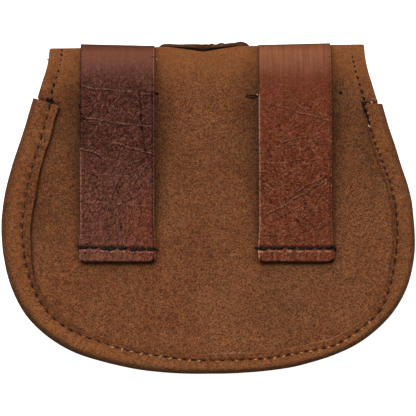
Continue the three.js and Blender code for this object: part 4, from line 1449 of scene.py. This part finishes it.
def new_tree(name, path, kinds, made):
    """An empty Geometry Nodes tree: the tree, its inputs, and the identifier of each input's socket."""
    tree = bpy.data.node_groups.new(name, "GeometryNodeTree")
    tree.interface.new_socket(path, in_out="INPUT", socket_type="NodeSocketGeometry")
    sockets = {
        key: tree.interface.new_socket(key, in_out="INPUT", socket_type="NodeSocket" + kind).identifier
        for key, kind in kinds.items()
    }
    tree.interface.new_socket(made, in_out="OUTPUT", socket_type="NodeSocketGeometry")
    return tree, add_node(tree, "NodeGroupInput").outputs, sockets


def thread_along(tree, line, given):
    """Adds what makes a line a round thread of the given width, closed at its ends."""
    radius = add_node(tree, "ShaderNodeMath", {"operation": "MULTIPLY"}, {0: given["Thread"], 1: 0.5})
    ring = add_node(tree, "GeometryNodeCurvePrimitiveCircle", None, {
        "Resolution": THREAD_SIDES, "Radius": radius,
    })
    return add_node(tree, "GeometryNodeCurveToMesh", None, {
        "Curve": line, "Profile Curve": ring, "Fill Caps": True,
    })


def end_tree(tree, threads, given):
    """Ends a tree: one real mesh, shaded smooth, in the given finish."""
    real = add_node(tree, "GeometryNodeRealizeInstances", None, {0: threads})
    smooth = add_node(tree, "GeometryNodeSetShadeSmooth", None, {0: real})
    painted = add_node(tree, "GeometryNodeSetMaterial", None, {0: smooth, "Material": given["Finish"]})
    add_node(tree, "NodeGroupOutput", None, {0: painted})


def stitch_tree():
    """Geometry Nodes: an arched thread on each point of a line, turned along it and sunk at its ends."""
    tree, given, sockets = new_tree("waxed_thread_stitches", "Seam", {
        "Length": "Float", "Thread": "Float", "Slant": "Float", "Rise": "Float", "Sink": "Float",
        "Swing": "Float", "Seed": "Int", "Finish": "Material",
    }, "Stitches")
    points = add_node(tree, "GeometryNodeMeshToCurve", None, {"Mesh": given["Seam"]})
    half, back, aside, other, down, swing_back = (
        add_node(tree, "ShaderNodeMath", {"operation": "MULTIPLY"}, {0: given[key], 1: factor})
        for key, factor in (
            ("Length", 0.5), ("Length", -0.5), ("Slant", 0.5), ("Slant", -0.5),
            ("Sink", -1.0), ("Swing", -1.0),
        )
    )
    start = add_node(tree, "ShaderNodeCombineXYZ", None, {"X": back, "Y": other, "Z": down})
    middle = add_node(tree, "ShaderNodeCombineXYZ", None, {"Z": given["Rise"]})
    end = add_node(tree, "ShaderNodeCombineXYZ", None, {"X": half, "Y": aside, "Z": down})
    run = add_node(tree, "GeometryNodeCurveQuadraticBezier", None, {
        "Resolution": THREAD_STEPS, "Start": start, "Middle": middle, "End": end,
    })
    along = add_node(tree, "GeometryNodeInputTangent")
    turned = add_node(tree, "FunctionNodeAlignRotationToVector", {"axis": "X", "pivot_axis": "Z"}, {
        "Vector": along,
    })
    swing = add_node(tree, "FunctionNodeRandomValue", {"data_type": "FLOAT"}, {
        2: swing_back, 3: given["Swing"], "Seed": given["Seed"],
    })
    swing_turn = add_node(tree, "ShaderNodeCombineXYZ", None, {"Z": swing})
    swung = add_node(tree, "FunctionNodeRotateRotation", {"rotation_space": "LOCAL"}, {
        0: turned, 1: swing_turn,
    })
    size = add_node(tree, "FunctionNodeRandomValue", {"data_type": "FLOAT"}, {
        2: STITCH_SCALE[0], 3: STITCH_SCALE[1], "Seed": given["Seed"],
    })
    placed = add_node(tree, "GeometryNodeInstanceOnPoints", None, {
        "Points": points, "Instance": thread_along(tree, run, given), "Rotation": swung, "Scale": size,
    })
    end_tree(tree, placed, given)
    return tree, sockets


def grown(name, lines, tree, values):
    """The plain mesh that a node tree makes along lines of points, as a piece of the bag."""
    starts = np.cumsum([0, *(len(line) for line in lines)])
    edges = [(i, i + 1) for start, end in zip(starts, starts[1:]) for i in range(start, end - 1)]
    path = bpy.data.meshes.new(name + "_path")
    path.from_pydata((np.vstack(lines) * MM).tolist(), edges, [])
    carrier = bpy.data.objects.new(name + "_path", path)
    bpy.context.scene.collection.objects.link(carrier)
    modifier = carrier.modifiers.new(name, "NODES")
    modifier.node_group = tree
    for socket, value in values.items():
        modifier[socket] = value
    evaluated = carrier.evaluated_get(bpy.context.evaluated_depsgraph_get())
    mesh = bpy.data.meshes.new_from_object(evaluated)
    mesh.name = name
    bpy.data.objects.remove(carrier)
    piece = bpy.data.objects.new(name, mesh)
    bpy.context.scene.collection.objects.link(piece)
    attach(piece, "root")
    return piece


def waxed_thread():
    """Black linen thread, twisted and waxed: nearly black, with a soft shine on the turns of the twist."""
    material, tree = new_material("black_waxed_thread")
    place = add_node(tree, "ShaderNodeTexCoord").outputs["Object"]
    plies = add_node(tree, "ShaderNodeTexNoise", None, {
        "Vector": place, "Scale": per_mm(0.5), "Detail": 2.0,
    })
    colour = add_node(tree, "ShaderNodeMix", MIX_COLOUR, {
        0: plies, MIX_A: linear("#040303"), MIX_B: linear("#15100d"),
    })
    bump = add_node(tree, "ShaderNodeBump", None, {
        "Height": plies, "Strength": 0.5, "Distance": 0.15 * MM,
    })
    shader = add_node(tree, "ShaderNodeBsdfPrincipled", None, {
        "Base Color": colour, "Roughness": 0.55, "Specular IOR Level": 0.15, "Normal": bump,
    })
    add_node(tree, "ShaderNodeOutputMaterial", None, {"Surface": shader})
    return material


STITCHES, STITCH_SOCKETS = stitch_tree()
THREAD_FINISH = waxed_thread()


def sew(name, line, seed, swing=0.16, finish=THREAD_FINISH, **sizes):
    """Sews a stitch on each point of a line, turned by up to the swing in radians; sizes are in mm."""
    values = {STITCH_SOCKETS[key]: size * MM for key, size in sizes.items()}
    values[STITCH_SOCKETS["Swing"]] = swing
    values[STITCH_SOCKETS["Seed"]] = seed
    values[STITCH_SOCKETS["Finish"]] = finish
    return grown(name, [line], STITCHES, values)


def rim_seam_points(share):
    """Points on the gusset's seam, in its groove."""
    seam, lap, _ = gusset_rim(share)
    onwards = seam * RIGHT_END["slope"] * smoothstep(share, RIGHT_END["from"], 1)
    x, y = inset(share, seam, onwards)
    return np.column_stack([x, y, BACK_FACE_Z + GAP + SUEDE + lap_height(seam, share, seam, lap)])


# The stitches are long and slanted down the left and along the bottom, and short on the right. A few on the
# left are worn down into the leather.
STITCH_WORN = [
    # share, how deep the stitch has worn in
    (0.085, 0.0), (0.095, 0.42), (0.125, 0.42), (0.135, 0.0),
]
RIGHT_SEAM_FROM = 0.75
RIM_THREAD = {"Thread": 0.7, "Rise": 0.8, "Sink": 0.35}
for side, shares, length, slant in (
    ("left", STITCH_SHARE[STITCH_SHARE < RIGHT_SEAM_FROM], 3.5, -0.45),
    ("right", STITCH_SHARE[STITCH_SHARE >= RIGHT_SEAM_FROM], 2.2, -0.2),
):
    seam = rim_seam_points(shares)
    seam[:, 2] -= from_table(shares, STITCH_WORN)
    sew(f"rim_seam_thread_{side}", seam, seed=3, Length=length, Slant=slant, **RIM_THREAD)

# The loops' lower seams: thick waxed thread, pulled tight by hand, no two stitches alike
LOOP_THREAD = {"Thread": 1.7, "Slant": 0.6, "Rise": 1.15, "Sink": 0.6}
LOOP_STITCH_DEEP = 0.75
LOOP_STITCH_OFF = {"x": 0.8, "y": 0.6}
for number, loop in enumerate(LOOPS):
    dice = np.random.default_rng(40 + number)
    count = round((loop["width"] + LOOP_SPREAD["more"]) / LOOP_SEAM_PITCH)
    off_x = dice.uniform(-LOOP_STITCH_OFF["x"], LOOP_STITCH_OFF["x"], count)
    off_y = dice.uniform(-LOOP_STITCH_OFF["y"], LOOP_STITCH_OFF["y"], count)
    middle_x = loop["x"] + loop["lean"] * (LOOP_SEAM_Y - TOP_RIGHT[1] / 2)
    x = middle_x + (np.arange(count) - (count - 1) / 2) * LOOP_SEAM_PITCH + off_x
    y = LOOP_SEAM_Y + loop["seam_slope"] * (x - middle_x) + off_y
    z = back_face_z(x, y) + GAP + GRAIN - LOOP_STITCH_DEEP
    sew(
        loop["name"] + "_seam_thread", np.column_stack([x, y, z]), seed=11 + number, swing=0.2,
        Length=loop["stitch"], **LOOP_THREAD,
    )

# The seams up the sides of the panel's top: small deep stitches, seen as dots, closer and fainter upwards
UPPER_THREAD = {"Length": 1.2, "Thread": 0.95, "Slant": 0.2, "Rise": 0.75, "Sink": 0.3}
UPPER_STITCHES = np.array([0.0, 3.15, 6.3, 9.4, 12.2, 14.4, 16.6, 18.7])
UPPER_STITCH_DEEP = 0.4
UPPER_FADING_Y = (59, 66)
UPPER_SEAMS = [
    # side, the lowest stitch's y, which way along x is inwards, how much deeper the upper stitches lie
    ("left", 52.4, 1, 0.2),
    ("right", 49.4, -1, 0.5),
]
for edge, (side, low_y, inwards, deeper) in zip(panel_sides(), UPPER_SEAMS):
    y = low_y + UPPER_STITCHES
    x = np.interp(y, edge[:, 1], edge[:, 0]) + inwards * UPPER_SEAM_INSET
    z = back_face_z(x, y) - UPPER_STITCH_DEEP - deeper * smoothstep(y, *UPPER_FADING_Y)
    sew(f"upper_seam_thread_{side}", np.column_stack([x, y, z]), seed=21, swing=0.4, **UPPER_THREAD)


def thread_tree():
    """Geometry Nodes: a thread along each line of the path."""
    tree, given, sockets = new_tree("waxed_thread_ends", "Path", {
        "Thread": "Float", "Finish": "Material",
    }, "Threads")
    lines = add_node(tree, "GeometryNodeMeshToCurve", None, {"Mesh": given["Path"]})
    end_tree(tree, thread_along(tree, lines, given), given)
    return tree, sockets


# Knots and thread ends where the seams start and stop: each is a line on the leather that arches between
# two holes, given by its two ends and the height of the leather there above the back face
THREAD_ENDS = {
    "thread_knots": [
        # from x, from y, to x, to y, bow, base, arch
        (-72.3, 49.5, -69.8, 47.9, 0.0, 0.6, 1.0),
        (-72.2, 48.3, -69.9, 49.2, 0.0, 0.7, 1.2),
        (-71.9, 49.1, -70.4, 48.2, 0.0, 0.9, 0.9),
        (-70.6, 47.5, -69.5, 46.9, 0.0, 0.9, 0.7),
        (69.6, 47.6, 72.0, 46.2, 0.0, 0.6, 1.0),
        (71.7, 47.8, 70.0, 45.9, 0.0, 0.7, 1.1),
        (70.3, 45.4, 71.0, 43.2, 0.0, 1.2, 0.9),
        (71.1, 43.3, 72.1, 40.7, 0.0, 1.4, 0.9),
        (72.0, 40.9, 72.8, 38.4, 0.0, 1.4, 0.8),
        (-23.4, 52.0, -22.2, 51.2, 0.0, 0.2, 0.8),
        (-23.3, 51.3, -22.3, 51.9, 0.0, 0.2, 0.8),
        (59.6, 52.4, 60.4, 51.7, 0.0, 0.2, 0.6),
        (59.6, 51.8, 60.4, 52.3, 0.0, 0.2, 0.6),
        (-57.6, 46.3, -57.0, 44.4, 0.0, 7.6, 0.9),
        (-57.0, 43.3, -56.3, 41.6, 0.0, 7.8, 0.8),
        (-56.0, 41.0, -55.1, 39.4, 0.0, 7.9, 0.8),
        (-58.6, -17.2, -56.4, -18.6, 0.0, 0.9, 1.3),
        (21.6, -17.9, 24.4, -18.6, 0.0, 0.7, 1.2),
        (56.4, -17.3, 57.9, -18.8, 0.0, 1.0, 1.2),
        (57.2, -16.9, 57.4, -19.2, 0.0, 0.9, 0.9),
        (-24.4, -18.3, -22.4, -18.9, 0.0, 0.9, 1.0),
    ],
    "thread_strands": [
        (17.0, 50.4, 22.9, 50.3, 0.5, 0.1, 0.5),
        (17.0, 50.4, 22.9, 50.3, -0.7, 0.1, 0.5),
        (-70.6, 67.3, -72.4, 66.9, 0.0, 0.0, 0.1),
    ],
}
THREAD_WIDTH = {"thread_knots": 0.75, "thread_strands": 0.5}
THREAD_END_POINTS = 9
THREAD_END_DEEP = 0.4
THREADS, THREAD_SOCKETS = thread_tree()


def thread_end(from_x, from_y, to_x, to_y, bow, base, arch):
    """The line of a thread end, bowed aside and arched up between its two holes."""
    t = np.linspace(0, 1, THREAD_END_POINTS)
    bowed = bow * np.sin(np.pi * t) / math.hypot(to_x - from_x, to_y - from_y)
    x = from_x + (to_x - from_x) * t - (to_y - from_y) * bowed
    y = from_y + (to_y - from_y) * t + (to_x - from_x) * bowed
    return np.column_stack([x, y, back_face_z(x, y) + base - THREAD_END_DEEP + arch * np.sin(np.pi * t)])


for name, rows in THREAD_ENDS.items():
    grown(name, [thread_end(*row) for row in rows], THREADS, {
        THREAD_SOCKETS["Thread"]: THREAD_WIDTH[name] * MM,
        THREAD_SOCKETS["Finish"]: THREAD_FINISH,
    })


def fibre_material(name, dark, pale):
    """Leather fibre pulled up by the needle: tan, dull and a little uneven."""
    material, tree = new_material(name)
    place = add_node(tree, "ShaderNodeTexCoord").outputs["Object"]
    fluff = add_node(tree, "ShaderNodeTexNoise", None, {
        "Vector": place, "Scale": per_mm(0.6), "Detail": 2.0,
    })
    colour = add_node(tree, "ShaderNodeMix", MIX_COLOUR, {
        0: fluff, MIX_A: linear(dark), MIX_B: linear(pale),
    })
    shader = add_node(tree, "ShaderNodeBsdfPrincipled", None, {
        "Base Color": colour, "Roughness": 0.95, "Specular IOR Level": 0.1,
    })
    add_node(tree, "ShaderNodeOutputMaterial", None, {"Surface": shader})
    return material


# Fibre pulled up at the needle holes between the stitches, on the rim's side of them: palest along the
# bottom, and a few flecks of it beside the knots
FLECKS_SHOWN = 0.75
PALE_SHARES = (0.38, 0.72)
TORN_SHARES = (0.505, 0.548)
TORN_COUNT = 16
KNOT_FLECKS = [
    # x, y, above the back face
    (72.7, 36.9, 2.2),
    (74.0, 47.6, 0.3),
    (22.4, 51.0, 0.2),
    (-22.9, 67.0, 0.2),
]
HOLE_OUT = {"mean": 0.3, "swing": 0.3}
HOLE_LIFT = 0.2
TORN_WANDER = 0.5
TORN_LIFT = 0.4
FIBRE_THREAD = {"Slant": 0.2, "Rise": 0.5, "Sink": 0.25}
dice = np.random.default_rng(8)
hole_share = (STITCH_SHARE[:-1] + STITCH_SHARE[1:]) / 2
hole_share = hole_share[dice.uniform(size=len(hole_share)) < FLECKS_SHOWN]
holes = rim_seam_points(hole_share)
outwards = np.column_stack(inset(hole_share, 0)) - holes[:, :2]
outwards /= np.linalg.norm(outwards, axis=1)[:, None]
out = HOLE_OUT["mean"] + dice.uniform(-HOLE_OUT["swing"], HOLE_OUT["swing"], (len(holes), 1))
holes[:, :2] += out * outwards
holes[:, 2] += HOLE_LIFT
torn_share = np.linspace(*TORN_SHARES, TORN_COUNT)
torn_seam, torn_lap, _ = gusset_rim(torn_share)
torn_off = dice.uniform(-TORN_WANDER, TORN_WANDER, TORN_COUNT)
torn_x, torn_y = inset(torn_share, torn_seam + torn_lap + torn_off)
torn_edge = np.column_stack([torn_x, torn_y, back_face_z(torn_x, torn_y) + TORN_LIFT])
along_bottom = (hole_share > PALE_SHARES[0]) & (hole_share < PALE_SHARES[1])
beside_knots = np.array([(x, y, float(back_face_z(x, y)) + above) for x, y, above in KNOT_FLECKS])
FIBRES = [
    # piece, where it is, material, its dark and pale tone, seed, length, thickness
    ("pale_seam_flecks", holes[along_bottom], "raw_leather_fibre", "#8a5a34", "#cfa272", 5, 1.1, 0.65),
    ("seam_flecks", holes[~along_bottom], "rubbed_suede_fibre", "#7a4c2a", "#a8743f", 6, 0.9, 0.5),
    ("knot_flecks", beside_knots, "frayed_thread_fibre", "#a8835c", "#e2c9a4", 7, 0.9, 0.5),
    ("torn_edge_fibres", torn_edge, "torn_leather_fibre", "#765a48", "#a2846c", 9, 0.9, 0.5),
]
for name, line, fibre, dark, pale, seed, length, thick in FIBRES:
    finish = fibre_material(fibre, dark, pale)
    sew(name, line, seed, swing=1.4, finish=finish, Length=length, Thread=thick, **FIBRE_THREAD)

# Floor, light and camera
# A plain white table, lit by a broad soft lamp above the bag's top edge and a weaker one at each side, and
# seen from straight above. Sizes here are in metres.
FLOOR_HALF = 3.0
FLOOR_GLOW = 0.8
ROOM_LIGHT = 0.2
LAMP_AIM = Vector((0, 0, 0.02))
CAMERA_HEIGHT = 1.238
PICTURE_WIDTH = 0.1872
PICTURE_PLANE = 0.038
PICTURE_MIDDLE_X = 0.0002

floor_mesh = bpy.data.meshes.new("floor")
floor_corners = [(x * FLOOR_HALF, y * FLOOR_HALF, 0) for x, y in ((-1, -1), (1, -1), (1, 1), (-1, 1))]
floor_mesh.from_pydata(floor_corners, [], [(0, 1, 2, 3)])
floor = bpy.data.objects.new("floor", floor_mesh)
bpy.context.scene.collection.objects.link(floor)
table_white, floor_tree = new_material("white_table")
floor_shader = add_node(floor_tree, "ShaderNodeBsdfPrincipled", None, {
    "Base Color": linear("#f4f4f2"), "Roughness": 0.9, "Emission Color": linear("#ffffff"),
    "Emission Strength": FLOOR_GLOW,
})
add_node(floor_tree, "ShaderNodeOutputMaterial", None, {"Surface": floor_shader})
floor_mesh.materials.append(table_white)
floor.visible_diffuse = False
floor.visible_glossy = False

world = bpy.data.worlds.new("studio")
world.use_nodes = True
sky = world.node_tree.nodes["Background"].inputs
sky["Color"].default_value = linear("#ffffff")
sky["Strength"].default_value = ROOM_LIGHT
bpy.context.scene.world = world

LAMPS = [
    # name, place, width, height, watts
    ("key_light", (-0.20, 0.95, 1.05), 1.1, 0.8, 18.0),
    ("left_light", (-1.05, 0.15, 1.15), 0.8, 0.8, 6.6),
    ("right_light", (1.05, 0.10, 1.15), 0.8, 0.8, 5.4),
]
for name, place, width, height, watts in LAMPS:
    lamp_data = bpy.data.lights.new(name, "AREA")
    lamp_data.shape = "RECTANGLE"
    lamp_data.size = width
    lamp_data.size_y = height
    lamp_data.energy = watts
    lamp = bpy.data.objects.new(name, lamp_data)
    lamp.location = place
    lamp.rotation_euler = (LAMP_AIM - lamp.location).to_track_quat("-Z", "Y").to_euler()
    bpy.context.scene.collection.objects.link(lamp)

camera_data = bpy.data.cameras.new("camera")
camera_data.sensor_width = 36.0
camera_data.lens = camera_data.sensor_width * (CAMERA_HEIGHT - PICTURE_PLANE) / PICTURE_WIDTH
camera = bpy.data.objects.new("camera", camera_data)
camera.location = (PICTURE_MIDDLE_X, 0, CAMERA_HEIGHT)
bpy.context.scene.collection.objects.link(camera)
bpy.context.scene.camera = camera
bpy.context.scene.view_settings.view_transform = "Standard"
